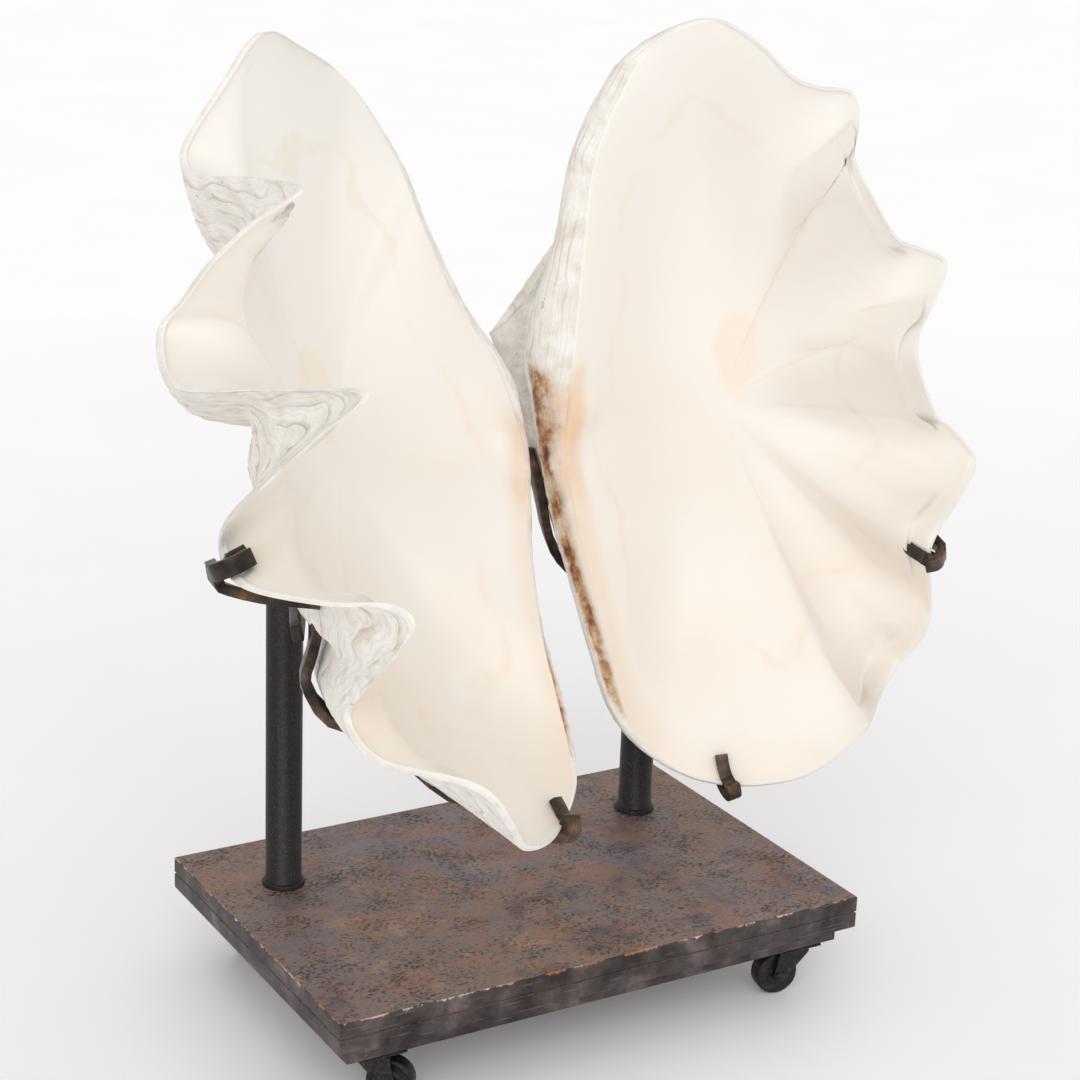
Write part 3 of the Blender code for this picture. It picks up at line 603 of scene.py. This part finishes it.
def inside_grid(margin, places, r):
    # The inside from the bowl's centre (r = 0) to the margin (r = 1).
    edge = edge_at(margin, places)
    flat = edge[:, :2]
    hinge = hinge_side(edge)
    to_beak = BEAK[:2] - flat
    to_centre = BOWL_CENTRE - flat
    facing = (to_beak * to_centre).sum(-1)
    facing /= np.linalg.norm(to_beak, axis=-1) * np.linalg.norm(to_centre, axis=-1)
    bend = flat + to_beak * (0.15 * (1.0 - hinge) ** 3 * np.maximum(facing, 0.0) ** 4)[:, None]
    r = np.asarray(r, float)[:, None, None]
    spot = flat * r ** 2 + bend * 2.0 * r * (1.0 - r) + BOWL_CENTRE * (1.0 - r) ** 2
    uneven = np.linalg.norm(flat - BOWL_CENTRE, axis=-1) / soft_reach(margin, places) - 1.0
    shelf = r[..., 0] * (1.0 + uneven * (1.0 - step(0.60, 1.0, r[..., 0])))
    shelf = np.minimum(shelf / (1.0 - 0.2 * hinge), 1.0)
    bowl = -BOWL_DEPTH * (1.0 - shelf ** 2) ** 0.95
    g = ((spot - BEAK[:2]) * -to_beak).sum(-1) / (to_beak ** 2).sum(-1)
    g = np.maximum(g, 0.0)
    fold = fold_at(margin, places, edge, g, 0.80, 1.0) * g * step(0.58, 1.0, g)
    fold = fold * step(0.40, 0.96, r[..., 0])
    return np.concatenate((spot, (bowl + fold)[..., None]), axis=-1)


def grid_tree(grid):
    # The surface through the rows of a grid, for finding where a line meets it.
    rows, count = grid.shape[:2]
    faces = []
    for k in range(rows - 1):
        for i in range(count):
            j = (i + 1) % count
            faces.append((k * count + i, (k + 1) * count + i, (k + 1) * count + j, k * count + j))
    return BVHTree.FromPolygons(grid.reshape(-1, 3).tolist(), faces)


def evened(heights, grid, rounds, held, pull=0.6):
    # Evens out heights between neighbours, nearer ones counting more; held rows stay as they are.
    flat = grid[..., :2]
    gap_along = np.linalg.norm(np.roll(flat, -1, 1) - flat, axis=-1) + 0.3
    gap_down = np.linalg.norm(flat[1:] - flat[:-1], axis=-1) + 0.3
    right_share = 1.0 / gap_along ** 2
    down_share = 1.0 / gap_down ** 2
    for _ in range(rounds):
        total = right_share * np.roll(heights, -1, 1)
        total += np.roll(right_share, 1, 1) * np.roll(heights, 1, 1)
        share = right_share + np.roll(right_share, 1, 1)
        total[:-1] += down_share * heights[1:]
        share[:-1] += down_share
        total[1:] += down_share * heights[:-1]
        share[1:] += down_share
        fresh = heights + pull * (total / share - heights)
        fresh[held] = heights[held]
        heights = fresh
    return heights


def lift_inside(grid, r, tree):
    # Keeps the inside clear of the outside beneath it, in one smooth sweep.
    least_height = np.full(grid.shape[:2], -1e3)
    down = Vector((0.0, 0.0, -1.0))
    for k in range(grid.shape[0]):
        for i in range(grid.shape[1]):
            spots = ((0, 0), (8, 0), (-8, 0), (0, 8), (0, -8)) if r[k] < 0.86 else ((0, 0),)
            for x, y in spots:
                hit = tree.ray_cast(Vector((grid[k, i, 0] + x, grid[k, i, 1] + y, 400.0)), down)
                if hit[0] is not None:
                    least_height[k, i] = max(least_height[k, i], hit[0].z)
    wall = LIP * 0.7 + (THINNEST - LIP * 0.7) * (1.0 - step(0.80, 0.97, r))
    least_height += wall[:, None]
    near = grid[..., 2]
    least_height = np.maximum(least_height, near - 60.0)
    held = r > 0.985
    least_soft = np.maximum(evened(least_height, grid, 30, held), least_height - 3.0)
    gap = near - least_soft
    blend = 10.0 * (1.0 - step(0.85, 1.0, r))[:, None]
    heights = 0.5 * (near + least_soft + np.sqrt(gap ** 2 + blend ** 2))
    heights[held] = near[held]
    heights = evened(heights, grid, EVENING_ROUNDS, held, 0.7 * (1.0 - step(0.60, 0.98, r))[:, None])
    lifted = grid.copy()
    lifted[..., 2] = np.maximum(heights, least_height - LEAST_WALL_SHARE * wall[:, None])
    lifted[held] = grid[held]
    return lifted


def ripple(points, size, seed):
    # Soft irregular waves about as long as size, mostly between -1 and 1.
    chance = np.random.default_rng(seed)
    total = np.zeros(points.shape[:-1])
    for _ in range(16):
        way = chance.normal(size=3)
        way /= np.linalg.norm(way)
        length = size * chance.uniform(0.6, 1.8)
        total += np.sin(points @ way * (2.0 * math.pi / length) + chance.uniform(0.0, 2.0 * math.pi))
    return total / 3.6


def bump(x, y, middle, size):
    return np.exp(-((x - middle[0]) / size[0]) ** 2 - ((y - middle[1]) / size[1]) ** 2)


def valve_axes(pose):
    side, turn, lean, spin = pose[0], *[math.radians(v) for v in pose[1:4]]
    reach = Vector((side, 0.0, 0.0))
    up = Vector((0.0, 0.0, 1.0))
    inside = Vector((0.0, -1.0, 0.0))
    reach, up = (reach * math.cos(spin) + up * math.sin(spin),
                 up * math.cos(spin) - reach * math.sin(spin))
    placing = Matrix.Rotation(-side * turn, 3, "Z") @ Matrix.Rotation(-lean, 3, "X")
    return [np.array(placing @ axis) for axis in (up, reach, inside)]


def valve_place(pose, points):
    up, reach, inside = valve_axes(pose)
    hinge = np.array(pose[4]) + np.array(DECK_CENTRE)
    points = np.asarray(points, float)
    return hinge + (points[..., :1] * up + points[..., 1:2] * reach + points[..., 2:3] * inside) * 0.001


def valve_grid(margin, places):
    # Rows of points from the beak over the outside, round the margin's wall and into the bowl,
    # with how far along each row lies on the outside, the wall and the inside.
    g = np.linspace(0.0, 1.0, OUTSIDE_COUNT + 1)[1:]
    outside = outside_grid(margin, places, g)
    edge = edge_at(margin, places)
    rim = outer_edge(edge)
    hinge = hinge_side(edge)
    w = np.linspace(0.0, 1.0, WALL_COUNT + 2)[1:-1]
    share = w[:, None, None]
    wall = rim * (1.0 - share) + edge * share
    arch = 4.0 * w * (1.0 - w)
    wall[..., 1] += arch[:, None] * SHOULDER[0] * hinge
    wall[..., 2] += arch[:, None] * SHOULDER[1] * hinge
    away = edge[:, :2] - BOWL_CENTRE
    away /= np.linalg.norm(away, axis=-1, keepdims=True)
    wall[..., :2] += (np.sin(w * math.pi) * 1.2)[:, None, None] * (away * (1.0 - hinge)[:, None])
    r = np.linspace(1.0, 0.0, INSIDE_COUNT + 1)[:-1]
    inside = lift_inside(inside_grid(margin, places, r), r, grid_tree(outside))
    return outside, wall, inside, g, w, r


def turned_out(name, mesh):
    # Makes the mesh the active object, with its faces turned outwards.
    piece = bpy.data.objects.new(name, mesh)
    bpy.context.scene.collection.objects.link(piece)
    deselect()
    piece.select_set(True)
    bpy.context.view_layer.objects.active = piece
    bpy.ops.object.mode_set(mode="EDIT")
    bpy.ops.mesh.select_all(action="SELECT")
    bpy.ops.mesh.normals_make_consistent(inside=False)
    bpy.ops.object.mode_set(mode="OBJECT")
    return piece


def grown_valve(name, pose, margin, box):
    places = places_along(margin, FINE_SPACING)
    count = len(places)
    outside, wall, inside, g, w, r = valve_grid(margin, places)
    hinge = hinge_side(edge_at(margin, places))
    rows = np.concatenate((outside, wall, inside))
    along = np.roll(rows, -1, 1) - np.roll(rows, 1, 1)
    normals = np.cross(along, np.gradient(rows, axis=0))
    normals /= np.linalg.norm(normals, axis=-1, keepdims=True) + 1e-9
    out_rows, wall_rows = slice(0, len(g)), slice(len(g), len(g) + len(w))
    in_rows = slice(len(g) + len(w), len(rows))
    up, across = rows[..., 0], rows[..., 1]

    # Growth layers on the outside: each swells to its edge and then steps down to the next.
    layer = np.zeros(rows.shape[:2])
    age = g[:, None] * GROWTH_LAYERS + 0.45 * ripple(outside, 90.0, 1) + 0.18 * ripple(outside, 25.0, 2)
    layer[out_rows] = age
    push = np.zeros(rows.shape[:2])
    push[out_rows] = -GROWTH_DEEP * (1.0 - age % 1.0) * (0.35 + 0.65 * g[:, None])
    push[out_rows] -= 0.2 * np.abs(ripple(outside, 14.0, 3)) + 0.4 * np.abs(ripple(outside, 45.0, 4))
    push[out_rows] *= 1.0 - 0.75 * step(0.86, 0.98, g[:, None])
    worn = 1.0 - step(0.10, 0.45, g[:, None])
    push[out_rows] -= worn * 2.2 * np.maximum(ripple(outside, 17.0, 5) - 0.55, 0.0)

    # The hinge's wall: stacked layers in front of the beak and outside the ligament's groove.
    w_at = w[:, None] * np.ones(count)
    groove_at = 0.40 + 0.50 * np.clip((25.0 - wall[..., 0]) / 320.0, 0.0, 1.0)
    groove_on = step(-305.0, -270.0, wall[..., 0]) * (1.0 - step(0.0, 26.0, wall[..., 0])) * hinge
    wide = 0.130 + 0.190 * bump(wall[..., 0], 0.0 * w_at, (-30.0, 0.0), (85.0, 1.0))
    groove = groove_on * np.exp(-((w_at - groove_at + 0.02 * ripple(wall, 40.0, 6)) / wide) ** 2)
    stack = w_at * HINGE_LAYERS + 0.35 * ripple(wall, 90.0, 7) + 0.10 * ripple(wall, 25.0, 8)
    layer[wall_rows] = stack
    plate_from = groove_at + 0.8 * wide
    rough = hinge * (1.0 - groove_on * step(0.0, 0.1, w_at - plate_from))
    push[wall_rows] = -HINGE_LAYER_DEEP * (1.0 - stack % 1.0) * rough
    push[wall_rows] -= 0.25 * np.abs(ripple(wall, 12.0, 9)) * rough
    push[wall_rows] -= LIGAMENT_DEEP * groove
    flaky = groove_on * np.exp(-((w_at - groove_at + 1.5 * wide) / 0.05) ** 2)
    push[wall_rows] += flaky * (1.0 + 0.8 * ripple(wall, 10.0, 10))

    # The inside: the hinge tooth, its socket below it and a barely uneven glaze.
    tooth_line = float(edge_at(margin, len(margin) - 0.35)[1])
    tooth = bump(up, across, (-22.0, tooth_line + 13.0), (15.0, 11.0))
    socket = bump(up, across, (-62.0, tooth_line + 18.0), (20.0, 9.0))
    push[in_rows] = (TOOTH_TALL * tooth - SOCKET_DEEP * socket)[in_rows] * (1.0 - step(0.9, 1.0, r[:, None]))
    push[in_rows] += 0.5 * ripple(inside, 110.0, 11) * (1.0 - step(0.9, 1.0, r[:, None]))

    rows = rows + normals * push[..., None]
    middle = inside[-1].mean(axis=0)
    middle[:2] = BOWL_CENTRE
    points = np.concatenate((BEAK[None], middle[None], rows.reshape(-1, 3)))
    total = len(rows)
    i = np.arange(count)
    j = (i + 1) % count
    last = 2 + (total - 1) * count
    faces = np.stack((np.zeros(count, int), 2 + i, 2 + j), 1).tolist()
    for k in range(total - 1):
        near, far = 2 + k * count, 2 + (k + 1) * count
        faces += np.stack((near + i, far + i, far + j, near + j), 1).tolist()
    faces += np.stack((np.ones(count, int), last + j, last + i), 1).tolist()
    placed = np.clip(valve_place(pose, points), np.array(box[0]), np.array(box[1]))
    mesh = bpy.data.meshes.new(name)
    mesh.from_pydata(placed.tolist(), [], faces)
    mesh.update()

    def keep(title, values, poles):
        # Stores one number for each point, for the material to read.
        held = mesh.attributes.new(title, "FLOAT", "POINT")
        held.data.foreach_set("value", np.concatenate((poles, values.ravel())))

    ones = np.ones(count)
    keep("side", np.concatenate((0.0 * g, w, 1.0 + 0.0 * r))[:, None] * ones, (0.0, 1.0))
    keep("grown", np.concatenate((g, 1.0 + 0.0 * w, 1.0 + 0.0 * r))[:, None] * ones, (0.0, 1.0))
    keep("inward", np.concatenate((0.0 * g, 0.0 * w, 1.0 - r))[:, None] * ones, (0.0, 1.0))
    keep("hinge", np.ones(total)[:, None] * hinge, (1.0, 0.0))
    keep("layer", layer, (0.0, 0.0))
    ligament = np.zeros(rows.shape[:2])
    ligament[wall_rows] = groove
    keep("ligament", ligament, (0.0, 0.0))
    plate = np.zeros(rows.shape[:2])
    above = 1.0 - step(-28.0, 22.0, wall[..., 0] + 6.0 * ripple(wall, 30.0, 12))
    plate[wall_rows] = groove_on * above * step(0.0, 0.10, w_at - plate_from)
    below = 1.0 - step(-28.0, 22.0, inside[..., 0] + 6.0 * ripple(inside, 30.0, 12))
    plate[in_rows] = hinge * below * (1.0 - step(0.20, 0.36, 1.0 - r[:, None]))
    keep("plate", plate * (1.0 if pose[0] > 0.0 else 0.55), (0.0, 0.0))
    held = mesh.attributes.new("flat", "FLOAT_VECTOR", "POINT")
    held.data.foreach_set("vector", points.ravel())
    mesh.shade_smooth()
    return turned_out(name, mesh)


# Aragonite shell, grown. Inside it is smooth and cream with peach at the hinge. Outside it is
# chalky white, with brown and grey growth lines 10 to 15 mm apart and finer ones between them.
# The ligament is rust brown.
clam_shell, tree, shader, where = new_material("clam shell")
side = add(tree, "Attribute", attribute_name="side").outputs["Fac"]
grown = add(tree, "Attribute", attribute_name="grown").outputs["Fac"]
inward = add(tree, "Attribute", attribute_name="inward").outputs["Fac"]
hinge = add(tree, "Attribute", attribute_name="hinge").outputs["Fac"]
layer = add(tree, "Attribute", attribute_name="layer").outputs["Fac"]
ligament = add(tree, "Attribute", attribute_name="ligament").outputs["Fac"]
plate = add(tree, "Attribute", attribute_name="plate").outputs["Fac"]
flat = add(tree, "Attribute", attribute_name="flat").outputs["Vector"]


# Inside: cream clouds 150 mm across, whiter high up and warmer low down.
warm = add(tree, "TexNoise", {"Vector": where, "Scale": 6.5, "Detail": 4.0, "Roughness": 0.45})
cream = add(tree, "ValToRGB", {"Fac": warm.outputs["Fac"]},
            stops=((0.34, "#F7F0E6"), (0.68, "#F2E5D4")))
height = add(tree, "SeparateXYZ", {"Vector": flat}).outputs["X"]
high_up = add(tree, "MapRange", {"Value": height, "From Min": -330.0, "From Max": 260.0,
                                 "To Min": 0.0, "To Max": 0.85})
inner = add(tree, "Mix", {0: high_up.outputs["Result"], 6: cream.outputs["Color"],
                          7: colour("#F6F2EC")}, data_type="RGBA")

# The muscle scar, a soft peach oval of 80 by 54 mm with a wandering edge.
wander = add(tree, "TexNoise", {"Vector": flat, "Scale": 0.016, "Detail": 3.0})
wandered = add(tree, "VectorMath", {0: wander.outputs["Color"], 1: (0.5, 0.5, 0.5)},
               operation="SUBTRACT")
drift = add(tree, "VectorMath", {0: wandered.outputs[0], 3: 46.0}, operation="SCALE")
drifted = add(tree, "VectorMath", {0: flat, 1: drift.outputs[0]}, operation="ADD")
scar_place = add(tree, "Mapping", {"Vector": drifted.outputs[0],
                                   "Location": (-SCAR_UP / SCAR_TALL, -SCAR_OUT / SCAR_WIDE, 0.0),
                                   "Scale": (1.0 / SCAR_TALL, 1.0 / SCAR_WIDE, 0.0)})
scar_far = add(tree, "VectorMath", {0: scar_place.outputs["Vector"]}, operation="LENGTH")
scar = add(tree, "ValToRGB", {"Fac": scar_far.outputs["Value"]},
           stops=((0.75, "#9A9A9A"), (1.10, "#000000")))
inner = add(tree, "Mix", {0: scar.outputs["Color"], 6: inner.outputs[2], 7: colour("#F7DFBA")},
            data_type="RGBA")

# The pallial line, a faint and broken ochre band half way between the lip and the middle.
line_drift = add(tree, "Math", {0: wander.outputs["Fac"], 1: 0.34, 2: -0.17},
                 operation="MULTIPLY_ADD")
line_at = add(tree, "Math", {0: inward, 1: line_drift.outputs[0]}, operation="ADD")
line_past = add(tree, "Math", {0: line_at.outputs[0], 1: 0.47}, operation="SUBTRACT")
line_off = add(tree, "Math", {0: line_past.outputs[0]}, operation="ABSOLUTE")
band = add(tree, "ValToRGB", {"Fac": line_off.outputs[0]},
           stops=((0.006, "#8C8C8C"), (0.030, "#000000")))
gaps = add(tree, "TexNoise", {"Vector": where, "Scale": 16.0, "Detail": 3.0})
broken = add(tree, "ValToRGB", {"Fac": gaps.outputs["Fac"]},
             stops=((0.42, "#000000"), (0.62, "#C8C8C8")))
line = add(tree, "Math", {0: band.outputs["Color"], 1: broken.outputs["Color"]},
           operation="MULTIPLY")
inner = add(tree, "Mix", {0: line.outputs[0], 6: inner.outputs[2], 7: colour("#E9C896")},
            data_type="RGBA")

# The lip is whiter than the bowl, and the hinge plate is peach.
lip = add(tree, "MapRange", {"Value": inward, "From Min": 0.0, "From Max": 0.05, "To Min": 0.75,
                             "To Max": 0.0})
inner = add(tree, "Mix", {0: lip.outputs["Result"], 6: inner.outputs[2], 7: colour("#FBF8F2")},
            data_type="RGBA")
uneven = add(tree, "TexNoise", {"Vector": where, "Scale": 24.0, "Detail": 4.0})
blush = add(tree, "ValToRGB", {"Fac": uneven.outputs["Fac"]},
            stops=((0.30, "#B4B4B4"), (0.62, "#FFFFFF")))
peach = add(tree, "Math", {0: plate, 1: blush.outputs["Color"]}, operation="MULTIPLY")
by_tooth = add(tree, "MapRange", {"Value": height, "From Min": -110.0, "From Max": -40.0})
peach_tone = add(tree, "Mix", {0: by_tooth.outputs["Result"], 6: colour("#F4E2CF"),
                               7: colour("#EFCBA9")}, data_type="RGBA")
inner = add(tree, "Mix", {0: peach.outputs[0], 6: inner.outputs[2], 7: peach_tone.outputs[2]},
            data_type="RGBA")

# Outside: chalk, duller towards the beak, with small pits.
dust = add(tree, "TexNoise", {"Vector": where, "Scale": 55.0, "Detail": 7.0, "Roughness": 0.65})
chalk = add(tree, "ValToRGB", {"Fac": dust.outputs["Fac"]},
            stops=((0.32, "#E6DFD4"), (0.58, "#F8F5F0")))
old = add(tree, "MapRange", {"Value": grown, "From Min": 0.0, "From Max": 0.75, "To Min": 0.75,
                             "To Max": 0.0})
patch = add(tree, "TexNoise", {"Vector": where, "Scale": 30.0, "Detail": 6.0, "Roughness": 0.7})
patches = add(tree, "ValToRGB", {"Fac": patch.outputs["Fac"]},
              stops=((0.35, "#303030"), (0.60, "#FFFFFF")))
dull = add(tree, "Math", {0: old.outputs["Result"], 1: patches.outputs["Color"]},
           operation="MULTIPLY")
outer = add(tree, "Mix", {0: dull.outputs[0], 6: chalk.outputs["Color"], 7: colour("#D3CBC2")},
            data_type="RGBA")

# Brown and grey lines at the edges of the growth layers, broken up, and three finer ones between.
layer_part = add(tree, "Math", {0: layer}, operation="FRACT")
layer_edge = add(tree, "ValToRGB", {"Fac": layer_part.outputs[0]},
                 stops=((0.0, "#FFFFFF"), (0.20, "#000000")))
wear = add(tree, "TexNoise", {"Vector": where, "Scale": 32.0, "Detail": 5.0, "Roughness": 0.6})
wear_mask = add(tree, "ValToRGB", {"Fac": wear.outputs["Fac"]},
                stops=((0.38, "#181818"), (0.60, "#D8D8D8")))
line_share = add(tree, "Math", {0: layer_edge.outputs["Color"], 1: wear_mask.outputs["Color"]},
                 operation="MULTIPLY")
stain = add(tree, "TexNoise", {"Vector": where, "Scale": 14.0, "Detail": 3.0})
line_tone = add(tree, "ValToRGB", {"Fac": stain.outputs["Fac"]},
                stops=((0.40, "#A69B8E"), (0.62, "#BE9668")))
outer = add(tree, "Mix", {0: line_share.outputs[0], 6: outer.outputs[2],
                          7: line_tone.outputs["Color"]}, data_type="RGBA")
waver = add(tree, "TexNoise", {"Vector": where, "Scale": 70.0, "Detail": 3.0})
fine_age = add(tree, "Math", {0: layer, 1: 3.0, 2: waver.outputs["Fac"]},
               operation="MULTIPLY_ADD")
fine_part = add(tree, "Math", {0: fine_age.outputs[0]}, operation="FRACT")
fine_line = add(tree, "ValToRGB", {"Fac": fine_part.outputs[0]},
                stops=((0.0, "#888888"), (0.26, "#000000")))
outer = add(tree, "Mix", {0: fine_line.outputs["Color"], 6: outer.outputs[2],
                          7: colour("#B5A48C")}, data_type="RGBA")
bored = add(tree, "TexNoise", {"Vector": where, "Scale": 120.0, "Detail": 2.0})
pits = add(tree, "ValToRGB", {"Fac": bored.outputs["Fac"]},
           stops=((0.70, "#000000"), (0.76, "#B0B0B0")))
outer = add(tree, "Mix", {0: pits.outputs["Color"], 6: outer.outputs[2], 7: colour("#8F8377")},
            data_type="RGBA")

# The hinge's wall is the outside's chalk up to the peach plate, and the groove holds the ligament.
on_inside = add(tree, "MapRange", {"Value": side, "From Min": 0.55, "From Max": 0.98})
past_edge = add(tree, "Math", {0: side, 1: 0.985, 2: 0.0}, operation="GREATER_THAN")
lip_side = add(tree, "Mix", {0: hinge, 6: on_inside.outputs["Result"], 7: past_edge.outputs[0]},
               data_type="RGBA")
skin = add(tree, "Mix", {0: lip_side.outputs[2], 6: outer.outputs[2], 7: inner.outputs[2]},
           data_type="RGBA")
skin = add(tree, "Mix", {0: peach.outputs[0], 6: skin.outputs[2], 7: peach_tone.outputs[2]},
           data_type="RGBA")
fibres = add(tree, "TexNoise", {"Vector": where, "Scale": 48.0, "Detail": 7.0, "Roughness": 0.7})
rust = add(tree, "ValToRGB", {"Fac": fibres.outputs["Fac"]},
           stops=((0.34, "#6B3A1E"), (0.66, "#EAD6C0"), (0.44, "#A9764C"), (0.54, "#D2AC88")))
torn = add(tree, "TexNoise", {"Vector": where, "Scale": 60.0, "Detail": 4.0})
torn_mask = add(tree, "ValToRGB", {"Fac": torn.outputs["Fac"]},
                stops=((0.30, "#909090"), (0.55, "#FFFFFF")))
held = add(tree, "Math", {0: ligament, 1: torn_mask.outputs["Color"]}, operation="MULTIPLY")
held_mask = add(tree, "ValToRGB", {"Fac": held.outputs[0]},
                stops=((0.07, "#000000"), (0.42, "#FFFFFF")))
skin = add(tree, "Mix", {0: held_mask.outputs["Color"], 6: skin.outputs[2],
                         7: rust.outputs["Color"]}, data_type="RGBA")
tree.links.new(skin.outputs[2], shader.inputs["Base Color"])
gloss = add(tree, "MapRange", {"Value": lip_side.outputs[2], "To Min": 0.72, "To Max": 0.42})
tree.links.new(gloss.outputs["Result"], shader.inputs["Roughness"])
grit = add(tree, "TexNoise", {"Vector": where, "Scale": 240.0, "Detail": 5.0, "Roughness": 0.6})
grit_share = add(tree, "MapRange", {"Value": lip_side.outputs[2], "To Min": 0.55, "To Max": 0.03})
relief = add(tree, "Bump", {"Height": grit.outputs["Fac"], "Strength": grit_share.outputs["Result"],
                            "Distance": 0.0009})
tree.links.new(relief.outputs["Normal"], shader.inputs["Normal"])

inside_of = {}
for name, pose, margin in (("left", LEFT_POSE, LEFT_MARGIN), ("right", RIGHT_POSE, RIGHT_MARGIN)):
    inside_of[name] = valve_grid(margin, places_along(margin, COARSE_SPACING))[2]
    node = name + "_valve"
    valve = grown_valve(node + "_grown", pose, margin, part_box(node))
    finish_piece(valve, node + "_grown", (clam_shell,), "stand", "shell", node)


# Clips.
# The ends of the cradle bars, forged a little thinner and turned over the valve's lip so that a
# short leg lies against the inside. Browned by the same heat as the bars.
CLIP_WIDE = 11.0
CLIP_THICK = 5.5
CLIP_ROUNDING = 0.0009
CLIP_LEGS = (4.0, 9.0, 14.0, 19.0)
CLIP_ROWS = 34


def clip_path(margin, place, inside, leg_scale):
    # From behind the lip, over it and down the inside: centre points and the way off the shell.
    places = places_along(margin, COARSE_SPACING)
    after = int(np.searchsorted(places, place))
    share = (place - places[after - 1]) / (places[after] - places[after - 1])
    column = inside[:, after - 1] * (1.0 - share) + inside[:, after] * share
    along = inside[:, (after + 1) % len(places)] - inside[:, after - 2]
    normals = np.cross(along, np.gradient(column, axis=0))
    normals /= np.linalg.norm(normals, axis=-1, keepdims=True)
    reached = np.concatenate(([0.0], np.cumsum(np.linalg.norm(np.diff(column, axis=0), axis=-1))))
    at = [[np.interp(leg, reached, values[:, k]) for k in range(3)]
          for leg in (5.0, *[leg * leg_scale for leg in CLIP_LEGS]) for values in (normals, column)]
    through = np.array(at[0])
    edge = column[0]
    rim = outer_edge(edge_at(margin, np.array([place])))[0]
    away = edge - np.array(at[3])
    away -= through * (through @ away)
    away /= np.linalg.norm(away)
    half = CLIP_THICK / 2.0
    path = [(rim - through * (half + 1.5) - away * 7.0, -through),
            (rim - through * (half + 0.5) + away * (half - 1.0), away - through),
            ((rim + edge) * 0.5 + away * (half + 2.5), away),
            (edge + through * (half + 0.5) + away * (half - 0.5), away + through)]
    for k in range(2, len(at), 2):
        path.append((np.array(at[k + 1]) + np.array(at[k]) * (half - 0.3), np.array(at[k])))
    return path


def bent_clip(name, pose, margin, place, inside, leg_scale):
    path = clip_path(margin, place, inside, leg_scale)
    points = np.array([point for point, out in path])
    outs = np.array([out / np.linalg.norm(out) for point, out in path])
    t = np.linspace(0.0, len(points) - 1.001, CLIP_ROWS)
    i = np.floor(t).astype(int)
    f = (t - i)[:, None]

    def curve(rows):
        rows = np.concatenate((2.0 * rows[:1] - rows[1:2], rows, 2.0 * rows[-1:] - rows[-2:-1]))
        before, start, end, after = (rows[i + k] for k in range(4))
        return 0.5 * (2.0 * start + (end - before) * f
                      + (2.0 * before - 5.0 * start + 4.0 * end - after) * f ** 2
                      + (3.0 * start - before - 3.0 * end + after) * f ** 3)

    line, rise = curve(points), curve(outs)
    ahead = np.gradient(line, axis=0)
    across = np.cross(ahead, rise)
    across /= np.linalg.norm(across, axis=-1, keepdims=True)
    rise = np.cross(across, ahead)
    rise /= np.linalg.norm(rise, axis=-1, keepdims=True)
    corners = np.stack([line + across * x * CLIP_WIDE / 2.0 + rise * y * CLIP_THICK / 2.0
                        for x, y in ((1, 1), (1, -1), (-1, -1), (-1, 1))], axis=1)
    placed = valve_place(pose, corners.reshape(-1, 3))
    faces = [(3, 2, 1, 0), tuple(len(placed) - k for k in (4, 3, 2, 1))]
    for k in range(len(line) - 1):
        for a in range(4):
            b = (a + 1) % 4
            faces.append((4 * k + a, 4 * k + b, 4 * k + 4 + b, 4 * k + 4 + a))
    mesh = bpy.data.meshes.new(name)
    mesh.from_pydata(placed.tolist(), [], faces)
    clip = turned_out(name, mesh)
    soft_edges(clip, CLIP_ROUNDING, 50.0)
    return clip


for name, pose, margin, places, leg_scale in (("left", LEFT_POSE, LEFT_MARGIN, (22.3, 35.35), 1.0),
                                              ("right", RIGHT_POSE, RIGHT_MARGIN, (27.0, 37.2), 1.5)):
    for n, place in enumerate(places):
        clip = bent_clip("clip", pose, margin, place, inside_of[name], leg_scale)
        finish_piece(clip, name + "_clip_" + str(n), (brown_steel,), "stand", "bar")
